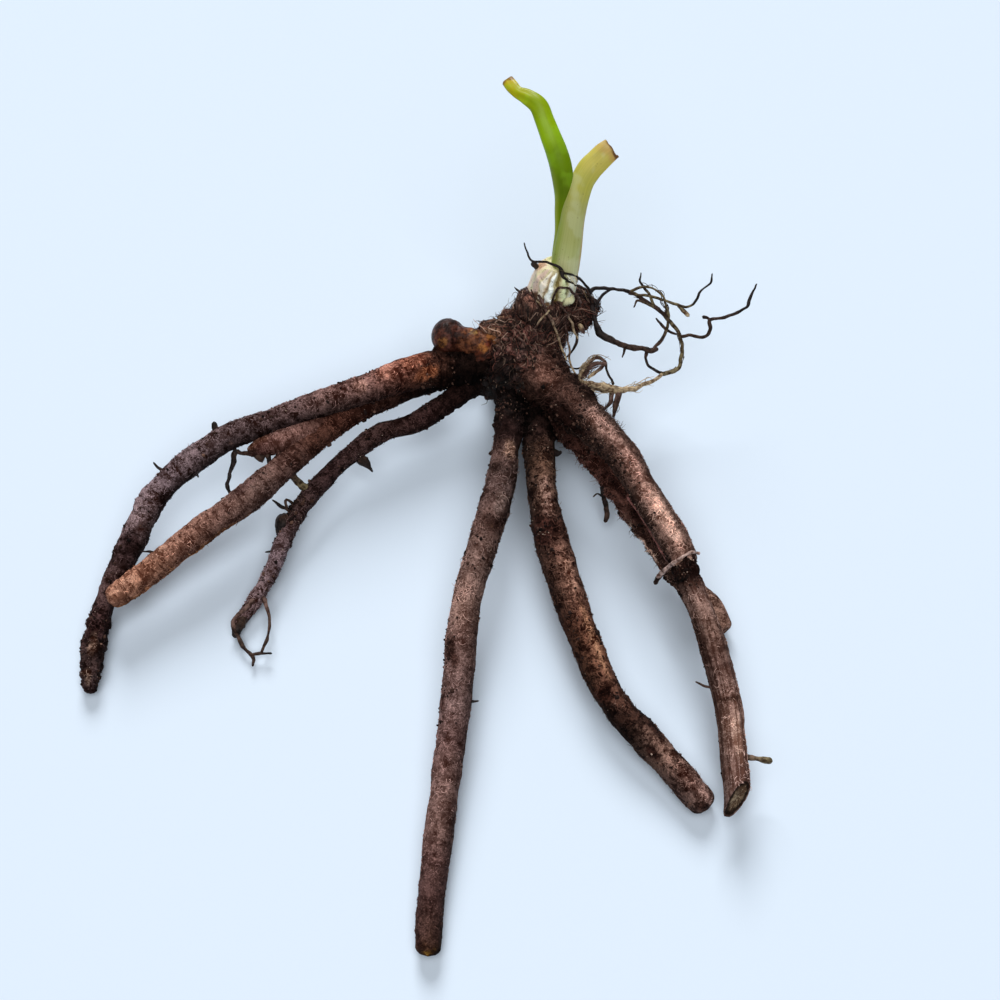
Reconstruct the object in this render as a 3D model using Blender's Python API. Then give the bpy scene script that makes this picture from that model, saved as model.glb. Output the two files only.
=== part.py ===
"""Iris rhizome, bare root, lying on a table as it was dug.

A knobbly crown carries long storage roots, a bunch of wiry feeding roots grows from its side,
and a shoot rises from its upper end: a pale swollen base, an outer leaf folded round an inner one.

Lengths are in millimetres until a mesh is made. A course is a list of hand-placed stations,
each (x, y, z, radius), and a smooth curve runs through them.
"""

import math
import random

import bmesh
import bpy
import numpy as np
from mathutils import Vector, noise

MM = 0.001
TABLE_Z = 0.0
GAP = 0.3  # clear space kept between two pieces that touch

# Storage roots: thick, wrinkled and blunt. The first stations lie inside the crown.
ROOT_SIDES = 10
ROOT_STEP = 3.2
STORAGE_ROOTS = {
    "far_left": [
        (20, 46, 14, 6.0), (13, 47.0, 15, 5.3), (6, 46.4, 15, 4.8), (-5, 42.2, 17, 4.3), (-17.5, 36.9, 18, 3.6),
        (-30, 32.0, 18, 3.3), (-42.5, 27.4, 17, 3.2), (-51.4, 23.6, 16, 3.2), (-60.5, 16.8, 14, 3.3),
        (-66.6, 10.8, 12, 3.3), (-72.9, -1.8, 8.5, 3.1), (-77.6, -13, 5.5, 2.9), (-79.6, -21, 4.2, 3.2),
        (-80.6, -28, 3.4, 3.4), (-80.8, -36.2, 2.4, 2.6),
    ],
    "left": [
        (16, 46, 12, 4.6), (3.5, 45.3, 11, 3.7), (-7, 40.5, 12, 3.4), (-21, 32.1, 13, 3.3), (-30, 23.8, 13.5, 3.6),
        (-37, 16, 13.5, 3.6), (-44.5, 9, 13, 3.5), (-54.5, 1.5, 12, 3.4), (-67.5, -9.5, 10.5, 3.5),
        (-75, -15.5, 10, 3.3),
    ],
    "broken_left": [(-19, 33, 13, 2.6), (-26, 29, 14, 3.0), (-34, 25.3, 15, 3.2), (-41.8, 22.2, 15, 2.8)],
    "thin_left": [
        (17, 44, 11, 3.8), (11, 43, 10, 3.3), (5.5, 38.3, 9.5, 2.8), (-3.5, 32.5, 9, 2.7), (-11.5, 29.7, 9, 2.5),
        (-18.2, 24.8, 8.5, 2.4), (-27.3, 15.2, 7.5, 2.35), (-33.4, 5.6, 6.5, 2.15), (-38, -7, 5, 1.8),
        (-41.2, -12.5, 3.5, 1.8), (-45.5, -19.5, 2.0, 1.6),
    ],
    "middle": [
        (23, 46, 13, 4.0), (21.5, 40, 14, 3.1), (20.5, 25.5, 15, 3.3), (18.3, 10, 15, 3.7), (14, -5.5, 14, 3.6),
        (10.5, -18.5, 12, 3.6), (9, -34, 10, 3.7), (7, -52.5, 7.3, 3.6), (4.5, -74, 4.9, 3.4),
        (3, -88, 3.5, 3.2), (2.4, -98.4, 2.8, 2.9),
    ],
    "middle_right": [
        (25, 46, 12, 4.0), (26.5, 40, 12, 3.2), (28.5, 24.5, 13, 3.8), (29.3, 10, 12.5, 3.7), (31.2, 0, 11.8, 4.1),
        (34.5, -12.5, 10.5, 4.0), (39.5, -27, 8.5, 3.8), (45.3, -40, 6.6, 3.7), (56, -52.5, 4.5, 3.6),
        (66.2, -64.6, 3.0, 3.35),
    ],
    "right": [
        (27, 45, 16, 7.4), (32.4, 37.4, 18.3, 5.8), (36.6, 32.2, 19.3, 5.2), (42, 26, 20, 4.6),
        (48.7, 18.2, 20, 4.1), (54, 8.5, 19, 3.7), (61.5, -5, 17, 3.7), (64.3, -14.5, 15.5, 3.2),
        (68.3, -26, 14, 3.2), (72.3, -42.5, 11.5, 3.3), (73, -50, 10.5, 3.3), (73.6, -63, 9.8, 3.3),
        (73.6, -67.3, 9.5, 3.2),
    ],
    "under_right": [
        (29, 38, 13, 5.0), (35.3, 31.2, 11, 3.8), (45.5, 18.5, 10, 3.1), (55.2, 2.7, 8, 2.6), (64, -9.4, 5.5, 2.8),
        (70, -15.4, 4.0, 3.0), (73.0, -20.6, 2.8, 2.6),
    ],
}
# The right root was cut off slantwise: a point of the cut, and the way that it faces.
SLANTED_CUT = ((74.2, -65.6, 9.6), (0.74, -0.58, 0.34))

# The old knob of the rhizome, amber skinned, pinched into joints behind its round end.
KNOB_SIDES = 14
KNOB_STEP = 1.5
KNOB = [(22, 50, 16, 6.0), (17.6, 47.8, 18.3, 4.6), (13.8, 48.6, 19.6, 3.9), (9.6, 50.4, 20.6, 3.2), (5.2, 50.4, 21, 3.5)]

# The crown is a heap of rounded lumps: (centre, radii along x, y and z).
CROWN_LUMPS = [
    ((25.0, 46.5, 12.0), (12.0, 10.5, 12.4)),
    ((26.8, 53.0, 17.5), (9.6, 7.6, 8.6)),
    ((29.0, 57.8, 21.3), (7.0, 5.6, 6.4)),
]
CROWN_ROUGHNESS = 0.7
FIBRES = 46
FIBRE_SEED = 7
FIBRE_LENGTHS = (3.5, 6.5)

# Rootlets, spurs and scars on the storage roots, each starting inside the root that bears it.
ROOTLETS = [
    [(-40, 22, 15, 0.8), (-46.5, 21, 15, 0.45), (-48, 17, 14.5, 0.4), (-49, 13, 14, 0.4), (-47, 10.2, 13, 0.4)],
    [(-46.5, 21, 15, 0.4), (-47.5, 24, 15.8, 0.4)],
    [(-39.5, 22, 15, 0.7), (-38.5, 17.5, 13.8, 0.45)],
    [(-35, 17.8, 13, 1.1), (-31.5, 15.2, 10, 0.95), (-28.5, 13.2, 7.6, 1.1)],
    [(-51.5, 25, 17, 0.9), (-51.5, 28.8, 18.8, 0.4)],
    [(-62, 16, 13.5, 0.6), (-66, 17.4, 14, 0.4), (-67.4, 18.8, 14.4, 0.3)],
    [(-58, 20, 13.5, 0.6), (-56.6, 16.2, 11.5, 0.3)],
    [(-63, -6, 11, 0.5), (-67, -3.5, 10, 0.4), (-70.5, -3.0, 9.5, 0.35)],
    [(-17.5, 25, 8, 1.2), (-15.5, 22.5, 7, 1.1), (-13.6, 20.4, 6, 0.3)],
    [(-32.5, 7, 6.5, 2.0), (-35.5, 5.8, 7, 1.7), (-37, 4.6, 7, 1.0)],
    [(-31, 8.5, 7, 0.7), (-34.5, 9, 8, 0.5), (-38, 11, 9, 0.35)],
    [(-34.5, 9, 8, 0.4), (-34.6, 11.2, 9, 0.4), (-31.3, 9.5, 7.5, 0.4)],
    [(-34.5, -1, 5.8, 0.6), (-39.5, -1.6, 5.5, 0.3)],
    [(-41, -12.5, 3.5, 0.8), (-43.2, -15.8, 4.4, 0.6), (-46.6, -19.5, 3.6, 0.6), (-44.6, -24.5, 2, 0.5),
     (-41.5, -27.8, 1.8, 0.5), (-41.5, -30, 1.6, 0.35)],
    [(-40.4, -11.5, 4, 0.7), (-38, -17.5, 4, 0.5), (-37.8, -22, 3.5, 0.45), (-39.4, -26.8, 2.6, 0.4)],
    [(-42.2, -27.4, 1.9, 0.45), (-39.5, -27, 2.4, 0.4), (-37, -27.2, 2.6, 0.35)],
    [(19, 21.5, 15, 1.2), (16.4, 21, 15, 0.6)],
    [(9, -42, 9, 0.8), (13.6, -41.6, 9.2, 0.3)],
    [(29, 22, 11.5, 1.4), (33.6, 23.6, 10.4, 0.8)],
    [(73.5, -55.5, 10.2, 1.0), (78, -56, 10.4, 0.75), (81.4, -56.7, 10.6, 0.85)],
    [(72, -38.3, 12, 0.5), (68.3, -39, 11.5, 0.35), (65, -37.8, 12, 0.3)],
    [(64.5, -8, 18, 0.9), (62, -9.8, 20, 0.6), (59, -10.6, 16, 0.6), (56.4, -11.8, 11, 0.7)],
    [(47, 15, 9, 1.2), (45.3, 11, 6.5, 0.8), (45.5, 6.6, 5, 0.45)],
]
ROOTLET_SIDES = 5
ROOTLET_STEP = 2.6

# Wiry feeding roots. Branches start on a station of the root that they leave.
ROOT_BALL = ((39.0, 59.2, 19.5), (5.0, 4.6, 5.4))
WIRY_SIDES = 5
WIRY_STEP = 2.4
WIRY_ROOTS = [
    [(39, 60, 21, 1.0), (43, 62, 24, 0.7), (47, 62.8, 25, 0.6), (51.5, 62, 24.5, 0.55), (58, 58.5, 23, 0.55),
     (61, 55.8, 22, 0.5), (64.5, 52, 20, 0.5), (64.5, 46, 16.5, 0.45), (63, 44.3, 15.5, 0.5), (60, 43.5, 15, 0.6),
     (56.5, 41, 14.5, 0.7), (51.5, 39, 15, 0.9), (46.8, 38, 16, 1.2), (43.2, 38.8, 17, 1.2)],
    [(40, 58, 20, 0.8), (42.5, 59.5, 22, 0.4), (45, 61.3, 23.5, 0.4), (47, 62.8, 25, 0.4)],
    [(40.5, 61, 21, 0.7), (40, 60.5, 28, 0.45), (36.5, 59, 34.5, 0.4), (30.5, 59.6, 36.3, 0.4), (27, 64.5, 35.5, 0.4),
     (24.5, 69, 38, 0.3)],
    [(58, 58.5, 23, 0.4), (56, 61, 25, 0.35), (54.8, 63.3, 26, 0.35), (54.5, 65.5, 27, 0.3)],
    [(51.5, 62, 24.5, 0.4), (58, 60.2, 25, 0.35), (64.5, 56.5, 26, 0.4), (67, 56.8, 27, 0.35), (69.3, 60, 28.3, 0.35),
     (71.7, 62, 29, 0.35), (72, 64, 30, 0.3)],
    [(51.5, 62, 24.5, 0.35), (55.5, 62.6, 26.6, 0.35), (59.5, 60, 26.2, 0.35), (61, 55.8, 22, 0.35)],
    [(64.5, 52, 20, 0.45), (67.5, 52, 21, 0.45), (70.4, 51.6, 22, 0.5), (71.4, 55.3, 24, 0.5), (74.5, 56, 24.5, 0.5),
     (80.5, 57.5, 26, 0.5), (82, 61, 26.5, 0.45), (83.5, 63, 27, 0.35)],
    [(71.4, 55.3, 24, 0.4), (69.6, 56.4, 25, 0.45)],
    [(40, 58, 18, 1.6), (44, 54, 18.5, 1.15), (47, 52.5, 18, 1.0), (51, 51, 17, 0.9), (56, 51, 15.8, 0.85),
     (60, 52.6, 15.5, 0.7)],
    [(56, 51, 15.8, 0.55), (55.6, 48, 14, 0.45), (58, 46, 14, 0.4), (60, 43.5, 15, 0.4)],
    [(60, 52.6, 15.5, 0.5), (61, 55, 18, 0.45), (61.5, 56.8, 21, 0.4), (61.0, 58.6, 25.6, 0.4)],
    [(61, 55, 18, 0.45), (58.5, 58.2, 19, 0.3)],
    [(61, 55, 18, 0.4), (63.5, 54.2, 17, 0.35)],
    [(64.5, 56.5, 26, 0.4), (66, 54.6, 25.2, 0.65)],
    [(58, 58.5, 23, 0.4), (53.8, 59.2, 24.4, 0.35), (52.5, 57.5, 24.5, 0.3)],
    [(39, 58, 17, 0.9), (41.5, 53.8, 16, 0.6), (40.5, 50.6, 13.5, 0.4)],
    [(46.8, 38, 16, 0.9), (43.4, 41.5, 17.2, 0.7), (42.2, 45.6, 17, 0.9), (45.3, 47, 16.5, 0.8), (46.6, 42.2, 16, 0.5),
     (48, 38.5, 15.8, 0.5)],
    [(51.5, 39, 15, 1.0), (49.2, 35.6, 14.6, 0.75), (48.4, 33, 14.2, 0.6)],
    [(51.5, 39, 15, 0.7), (47.2, 35.8, 15.4, 0.45)],
    [(51, 51, 17, 0.5), (50.4, 47.2, 16, 0.3)],
]

# The shoot. The base sits in a socket in the crown, and both leaves stand in a socket in the base.
BASE_SIDES = 14
BASE_STEP = 1.6
BASE_COURSE = [(29.4, 57.6, 22, 4.6), (30.2, 59.8, 25, 5.5), (31.4, 61, 28.5, 5.5), (32.8, 61.6, 32, 4.5)]
# Torn scales hug the base: (direction round the base in degrees, width in mm, height in mm).
BASE_SCALES = [(150, 4.4, 6.5), (205, 4.8, 5.2), (262, 4.6, 6.0), (320, 4.2, 4.4)]
BASE_BUDS = [
    [(28.6, 62.5, 29, 1.8), (27.4, 64.0, 32.4, 1.0)],
    [(33.6, 57.6, 25, 2.0), (35.0, 55.8, 26.4, 1.7)],
]

OUTER_LEAF_COURSE = [
    (33.2, 61.4, 30.4, 3.2), (34.4, 62.8, 34, 3.25), (35.3, 66.5, 40, 3.4), (36.2, 70.6, 45.2, 3.4),
    (37.2, 74.9, 49.4, 3.35), (38.9, 79, 52.8, 3.4), (41.7, 82.5, 54.8, 3.5), (44.4, 84.9, 55.8, 3.6),
]
OUTER_LEAF_WALL = 0.9
OUTER_LEAF_STEP = 2.4
OUTER_LEAF_ARC_POINTS = 11
# Half the opening of the fold in degrees, from the foot to the cut end.
OUTER_LEAF_MOUTH = (48, 84)

INNER_LEAF_SIDES = 12
INNER_LEAF_STEP = 2.4
INNER_LEAF_FLATNESS = 0.72
INNER_LEAF_COURSE = [
    (32.6, 61.3, 30.4, 1.5), (33.2, 63.0, 34.6, 1.6), (33.2, 67, 41, 1.75), (33.4, 71, 46, 2.0), (33.4, 74.5, 50, 2.5),
    (32.9, 79, 55, 3.0), (30.7, 84.6, 59.5, 3.0), (28.4, 89, 62, 2.8), (25.7, 92.6, 63, 2.2), (22.6, 95.6, 63, 1.9),
    (20.6, 97.8, 62.6, 1.9),
]


def clear_scene():
    for obj in list(bpy.data.objects):
        bpy.data.objects.remove(obj)


def plain_material(name, colour, roughness):
    material = bpy.data.materials.new(name)
    material.use_nodes = True
    shader = material.node_tree.nodes["Principled BSDF"]
    shader.inputs["Base Color"].default_value = (*colour, 1.0)
    shader.inputs["Roughness"].default_value = roughness
    shader.inputs["Metallic"].default_value = 0.0
    return material


def smooth_course(course, step):
    """Stations about one step apart on the Catmull-Rom curve through a course."""
    knots = np.array(course, float)
    padded = np.vstack([2 * knots[0] - knots[1], knots, 2 * knots[-1] - knots[-2]])
    stations = []
    for before, start, end, after in zip(padded, padded[1:], padded[2:], padded[3:]):
        count = max(1, round(float(np.linalg.norm(end[:3] - start[:3])) / step))
        for t in np.arange(count) / count:
            stations.append(
                start
                + 0.5 * t * (end - before)
                + t * t * (before - 2.5 * start + 2 * end - 0.5 * after)
                + t ** 3 * (1.5 * (start - end) + 0.5 * (after - before))
            )
    stations.append(knots[-1])
    return np.array(stations)


def frames_along(centres, first_side):
    """Tangent, side and up vectors at each centre. The side vector turns as little as it can."""
    tangents = np.gradient(centres, axis=0)
    tangents /= np.linalg.norm(tangents, axis=1, keepdims=True)
    side = np.array(first_side, float)
    sides = []
    for tangent in tangents:
        side = side - tangent * (side @ tangent)
        side = side / np.linalg.norm(side)
        sides.append(side)
    sides = np.array(sides)
    return tangents, sides, np.cross(tangents, sides)


def mesh_object(name, points, faces, material):
    """An object from points in millimetres. Its normals are made to face out."""
    mesh = bpy.data.meshes.new(name)
    mesh.from_pydata([tuple(p) for p in np.asarray(points, float) * MM], [], faces)
    work = bmesh.new()
    work.from_mesh(mesh)
    bmesh.ops.recalc_face_normals(work, faces=work.faces)
    work.to_mesh(mesh)
    work.free()
    mesh.materials.append(material)
    obj = bpy.data.objects.new(name, mesh)
    bpy.context.scene.collection.objects.link(obj)
    return obj


def loft(name, rings, material):
    """A closed skin over rings of equal count, with a flat cap at each end."""
    count, sides = len(rings), len(rings[0])
    faces = [tuple(range(sides)), tuple(range(sides * count - 1, sides * (count - 1) - 1, -1))]
    for ring in range(count - 1):
        for i in range(sides):
            a, b = ring * sides + i, ring * sides + (i + 1) % sides
            faces.append((a, b, b + sides, a + sides))
    return mesh_object(name, np.concatenate(rings), faces, material)


def round_off(stations):
    """Adds two shrinking stations past the last one, so that a tube ends in a blunt dome."""
    last = stations[-1]
    ahead = last[:3] - stations[-2][:3]
    ahead = ahead / np.linalg.norm(ahead)
    extra = []
    for advance, shrink in ((0.42, 0.8), (0.62, 0.42)):
        extra.append(np.append(last[:3] + ahead * advance * last[3], last[3] * shrink))
    return np.vstack([stations, extra])


def tube(name, course, sides, step, material, wobble=0.0, flatness=1.0, grow=0.0, domed=True):
    """A tapering tube along a course. Wobble is the share by which its radius wanders."""
    stations = smooth_course(course, step)
    if domed:
        stations = round_off(stations)
    _, across, upward = frames_along(stations[:, :3], (0.3, 0.2, 1.0))
    angles = np.arange(sides) * math.tau / sides
    rings = []
    for (x, y, z, radius), side, up in zip(stations, across, upward):
        ring = []
        for angle in angles:
            out = side * math.cos(angle) * flatness + up * math.sin(angle)
            lump = noise.noise(Vector((x, y, z)) * 0.16 + Vector(out) * 0.9)
            ring.append(np.array([x, y, z]) + out * (radius * (1 + wobble * lump) + grow))
        rings.append(np.array(ring))
    return loft(name, rings, material)


def lump(name, centre, radii, material, roughness=0.0, grow=0.0, columns=16, rows=11):
    """A rounded lump: a ball stretched to its radii, its surface raised and sunk by noise."""
    work = bmesh.new()
    bmesh.ops.create_uvsphere(work, u_segments=columns, v_segments=rows, radius=1.0)
    for vertex in work.verts:
        out = vertex.co.copy()
        rise = roughness * noise.noise(out * 2.6 + Vector(centre) * 0.1) + grow
        vertex.co = [(c + o * (r + rise)) * MM for c, o, r in zip(centre, out, radii)]
    mesh = bpy.data.meshes.new(name)
    work.to_mesh(mesh)
    work.free()
    mesh.materials.append(material)
    obj = bpy.data.objects.new(name, mesh)
    bpy.context.scene.collection.objects.link(obj)
    return obj


def apply_modifiers(obj):
    graph = bpy.context.evaluated_depsgraph_get()
    mesh = bpy.data.meshes.new_from_object(obj.evaluated_get(graph))
    obj.modifiers.clear()
    obj.data = mesh


def boolean(obj, others, operation):
    """Joins others to obj, or cuts them from it, in one Boolean on a collection, and removes them."""
    collection = bpy.data.collections.new(obj.name + "_tools")
    bpy.context.scene.collection.children.link(collection)
    for other in others:
        collection.objects.link(other)
    modifier = obj.modifiers.new(operation.title(), "BOOLEAN")
    modifier.operation = operation
    modifier.operand_type = "COLLECTION"
    modifier.collection = collection
    modifier.solver = "EXACT"
    apply_modifiers(obj)
    for other in others:
        bpy.data.objects.remove(other)
    bpy.data.collections.remove(collection)


def slice_off(obj, point, facing):
    """Cuts off what lies beyond a plane and closes the cut."""
    work = bmesh.new()
    work.from_mesh(obj.data)
    everything = work.verts[:] + work.edges[:] + work.faces[:]
    bmesh.ops.bisect_plane(
        work, geom=everything, dist=1e-7, plane_co=Vector(point) * MM, plane_no=facing, clear_outer=True
    )
    bmesh.ops.holes_fill(work, edges=[edge for edge in work.edges if edge.is_boundary])
    bmesh.ops.recalc_face_normals(work, faces=work.faces)
    work.to_mesh(obj.data)
    work.free()


def shade_round(obj):
    obj.data.shade_smooth()
    obj.data.set_sharp_from_angle(angle=math.radians(50))


def distance_to(point, ball):
    """How far a point is outside a lump, in the lump's own radii."""
    centre, radii = ball
    return float(np.linalg.norm((np.array(point) - centre) / radii))


def crown_fibres(material):
    """Short stiff fibres that stand out of the crown, away from the shoot and the root ball."""
    draw = random.Random(FIBRE_SEED)
    shoot = (np.array(BASE_COURSE[1][:3]), np.array([9.0, 8.0, 9.0]))
    ball = (np.array(ROOT_BALL[0]), np.array(ROOT_BALL[1]) + 3.5)
    fibres = []
    while len(fibres) < FIBRES:
        centre, radii = CROWN_LUMPS[draw.choice((0, 1, 1, 2))]
        turn = draw.uniform(0, math.tau)
        rise = draw.uniform(-0.2, 0.95)
        level = math.sqrt(1 - rise * rise)
        out = np.array([level * math.cos(turn), level * math.sin(turn), rise])
        lean = np.array([draw.uniform(-1, 1), draw.uniform(-1, 1), draw.uniform(-0.6, 0.6)])
        ahead = out * 0.55 + lean
        ahead /= np.linalg.norm(ahead)
        length = draw.uniform(*FIBRE_LENGTHS)
        foot = np.array(centre) + out * radii * 0.86
        middle = np.array(centre) + out * np.array(radii) * 1.02 + ahead * length * 0.4
        tip = middle + ahead * length * 0.5 + out * draw.uniform(-0.8, 1.2)
        outside = min(distance_to(tip, lump_) for lump_ in CROWN_LUMPS) > 1.08
        if outside and min(distance_to(p, b) for p in (foot, middle, tip) for b in (shoot, ball)) > 1.0:
            course = [(*foot, 0.55), (*middle, 0.42), (*tip, 0.3)]
            fibres.append(tube(f"fibre_{len(fibres)}", course, 4, 4.0, material, domed=False))
    return fibres


def build_rhizome(material):
    """The crown, its knob, the storage roots and their rootlets: one grown body."""
    first, *others = CROWN_LUMPS
    crown = lump("rhizome", *first, material, CROWN_ROUGHNESS, columns=20, rows=14)
    grown = [lump(f"crown_{i}", *shape, material, CROWN_ROUGHNESS) for i, shape in enumerate(others)]
    grown.append(tube("knob", KNOB, KNOB_SIDES, KNOB_STEP, material, wobble=0.22))
    for name, course in STORAGE_ROOTS.items():
        grown.append(tube(name, course, ROOT_SIDES, ROOT_STEP, material, wobble=0.14))
        if name == "right":
            slice_off(grown[-1], *SLANTED_CUT)
    for i, course in enumerate(ROOTLETS):
        grown.append(tube(f"rootlet_{i}", course, ROOTLET_SIDES, ROOTLET_STEP, material, domed=False))
    grown += crown_fibres(material)
    boolean(crown, grown, "UNION")
    boolean(crown, base_pieces(material, 2 * GAP), "DIFFERENCE")
    slice_off(crown, (0, 0, TABLE_Z), (0, 0, -1))  # leaves flat spots where the plant rests
    shade_round(crown)
    return crown


def build_fibrous_roots(material):
    """The root ball on the crown's side with its wiry roots, cut back from what it leans on."""
    ball = lump("fibrous_roots", *ROOT_BALL, material, CROWN_ROUGHNESS, columns=12, rows=9)
    roots = []
    for i, course in enumerate(WIRY_ROOTS):
        roots.append(tube(f"wiry_{i}", course, WIRY_SIDES, WIRY_STEP, material, domed=False))
    boolean(ball, roots, "UNION")
    clearance = GAP + CROWN_ROUGHNESS
    keep_clear = [lump(f"clear_{i}", *shape, material, grow=clearance) for i, shape in enumerate(CROWN_LUMPS)]
    keep_clear += base_pieces(material, 2 * GAP)
    boolean(ball, keep_clear, "DIFFERENCE")
    shade_round(ball)
    return ball


def base_scale(index, turn, width, height, material, grow):
    """A torn scale: a thin pointed tongue that leans on the base's side."""
    foot = np.array(BASE_COURSE[1][:3])
    axis = np.array(BASE_COURSE[3][:3]) - foot
    axis /= np.linalg.norm(axis)
    side = np.cross(axis, (0.0, 1.0, 0.0))
    side /= np.linalg.norm(side)
    out = side * math.cos(math.radians(turn)) + np.cross(axis, side) * math.sin(math.radians(turn))
    along = np.cross(axis, out)
    rings = []
    for share, spread in ((-0.25, 0.75), (0.15, 1.0), (0.5, 0.85), (0.8, 0.5), (1.0, 0.16)):
        middle = foot + axis * (height * share + grow * (2 * share - 1)) + out * (4.9 - 0.5 * share)
        half = width * spread / 2 + grow
        ring = []
        for angle in np.arange(8) * math.tau / 8:
            bend = -out * (math.cos(angle) * half) ** 2 / 11
            thick = out * (0.85 + grow) * math.sin(angle)
            ring.append(middle + along * half * math.cos(angle) + thick + bend)
        rings.append(np.array(ring))
    return loft(f"scale_{index}", rings, material)


def base_pieces(material, grow=0.0):
    """The base, its scales and its buds, all swollen by grow. Swollen ones cut room for the base."""
    pieces = [tube("shoot_base", BASE_COURSE, BASE_SIDES, BASE_STEP, material, wobble=0.06, grow=grow)]
    for i, scale in enumerate(BASE_SCALES):
        pieces.append(base_scale(i, *scale, material, grow))
    for i, course in enumerate(BASE_BUDS):
        pieces.append(tube(f"bud_{i}", course, 8, 1.2, material, grow=grow))
    return pieces


def build_shoot_base(material):
    """The pale swollen foot of the shoot, with torn scales and two buds."""
    base, *grown = base_pieces(material)
    boolean(base, grown, "UNION")
    room_outer = tube("room_outer", OUTER_LEAF_COURSE[:4], 16, 2.0, material, grow=2 * GAP, domed=False)
    room_inner = tube("room_inner", INNER_LEAF_COURSE[:4], 12, 2.0, material, grow=2 * GAP, domed=False)
    boolean(base, [room_outer, room_inner], "DIFFERENCE")
    shade_round(base)
    return base


def build_outer_leaf(material):
    """The outer leaf, folded lengthways into a gutter that opens towards the inner leaf."""
    stations = smooth_course(OUTER_LEAF_COURSE, OUTER_LEAF_STEP)
    _, across, upward = frames_along(stations[:, :3], (-1.0, 0.0, 0.25))
    rings = []
    for share, (x, y, z, radius), side, up in zip(np.linspace(0, 1, len(stations)), stations, across, upward):
        mouth = math.radians(np.interp(share, (0, 1), OUTER_LEAF_MOUTH))
        angles = np.linspace(mouth, math.tau - mouth, OUTER_LEAF_ARC_POINTS)
        ring = []
        for reach, turns in ((radius, angles), (radius - OUTER_LEAF_WALL, angles[::-1])):
            for turn in turns:
                ring.append(np.array([x, y, z]) + reach * (side * math.cos(turn) + up * math.sin(turn)))
        rings.append(np.array(ring))
    leaf = loft("outer_leaf", rings, material)
    shade_round(leaf)
    return leaf


def build_inner_leaf(material):
    """The inner leaf, a thick blade still rolled on itself, nodding over at its cut tip."""
    leaf = tube(
        "inner_leaf", INNER_LEAF_COURSE, INNER_LEAF_SIDES, INNER_LEAF_STEP, material,
        flatness=INNER_LEAF_FLATNESS,
    )
    shade_round(leaf)
    return leaf


def build():
    clear_scene()
    build_rhizome(plain_material("root_bark", (0.16, 0.085, 0.06), 0.75))
    build_fibrous_roots(plain_material("wiry_root", (0.075, 0.05, 0.03), 0.7))
    build_shoot_base(plain_material("shoot_base", (0.84, 0.78, 0.6), 0.5))
    build_outer_leaf(plain_material("outer_leaf", (0.62, 0.62, 0.3), 0.45))
    build_inner_leaf(plain_material("inner_leaf", (0.22, 0.42, 0.02), 0.35))


build()
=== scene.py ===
import math

import bmesh
import bpy
import numpy as np
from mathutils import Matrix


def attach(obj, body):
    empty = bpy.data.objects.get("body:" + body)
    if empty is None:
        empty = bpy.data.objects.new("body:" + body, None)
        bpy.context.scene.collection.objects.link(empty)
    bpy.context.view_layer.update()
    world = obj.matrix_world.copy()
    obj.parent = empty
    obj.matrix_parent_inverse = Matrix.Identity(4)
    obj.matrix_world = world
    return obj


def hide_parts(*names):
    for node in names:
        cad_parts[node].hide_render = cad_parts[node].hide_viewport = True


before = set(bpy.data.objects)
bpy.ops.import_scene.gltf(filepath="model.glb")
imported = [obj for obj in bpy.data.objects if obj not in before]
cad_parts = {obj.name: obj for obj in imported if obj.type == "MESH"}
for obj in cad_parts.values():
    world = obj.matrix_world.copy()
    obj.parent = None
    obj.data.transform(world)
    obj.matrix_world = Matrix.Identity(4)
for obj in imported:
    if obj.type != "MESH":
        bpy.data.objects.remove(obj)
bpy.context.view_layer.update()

# Lengths in the dictionaries are in millimetres, turns in degrees, colours as a screen shows them, 0 to 255
mm = 0.001
tau = math.tau
lowest = 0.02  # nothing reaches closer to the floor


def colour(red, green, blue):
    share = np.array([red, green, blue]) / 255
    linear = np.where(share > 0.04045, ((share + 0.055) / 1.055) ** 2.4, share / 12.92)
    return (*linear.tolist(), 1.0)


def shade(tint):  # the same as an array of three
    return np.array(colour(*tint)[:3])


def mixed(first, second, share):
    return first * (1 - share) + second * share


def unit(vectors):
    return vectors / np.maximum(np.linalg.norm(vectors, axis=-1, keepdims=True), 1e-9)


def smooth(low, high, value):
    share = np.clip((value - low) / (high - low), 0, 1)
    return share * share * (3 - 2 * share)


# Value noise: every corner of a lattice gets a number from its own hash, and smooth steps join the eight round a point
def speckle(points, cell, seed=0):
    scaled = np.asarray(points, float) / cell
    corner = np.floor(scaled).astype(np.int64)
    part = scaled - corner
    part = part * part * (3 - 2 * part)
    total = np.zeros(scaled.shape[:-1])
    for shift in np.ndindex(2, 2, 2):
        key = (corner + shift) @ np.array([374761393, 668265263, 715827883]) + seed * 974711
        key = (key & 0xFFFFFFFF) ^ ((key & 0xFFFFFFFF) >> 13)
        key = (key * 1274126177) & 0xFFFFFFFF
        key = (key ^ (key >> 16)) & 0xFFFF
        total += (key / 32767.5 - 1) * np.prod(np.where(np.array(shift) == 1, part, 1 - part), axis=-1)
    return total


# Layers of value noise, each half as large and half as strong as the one before
def layered(points, cell, layers=3, seed=0):
    return sum(speckle(points, cell / 2**n, seed + 17 * n) / 2**n for n in range(layers))


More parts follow.
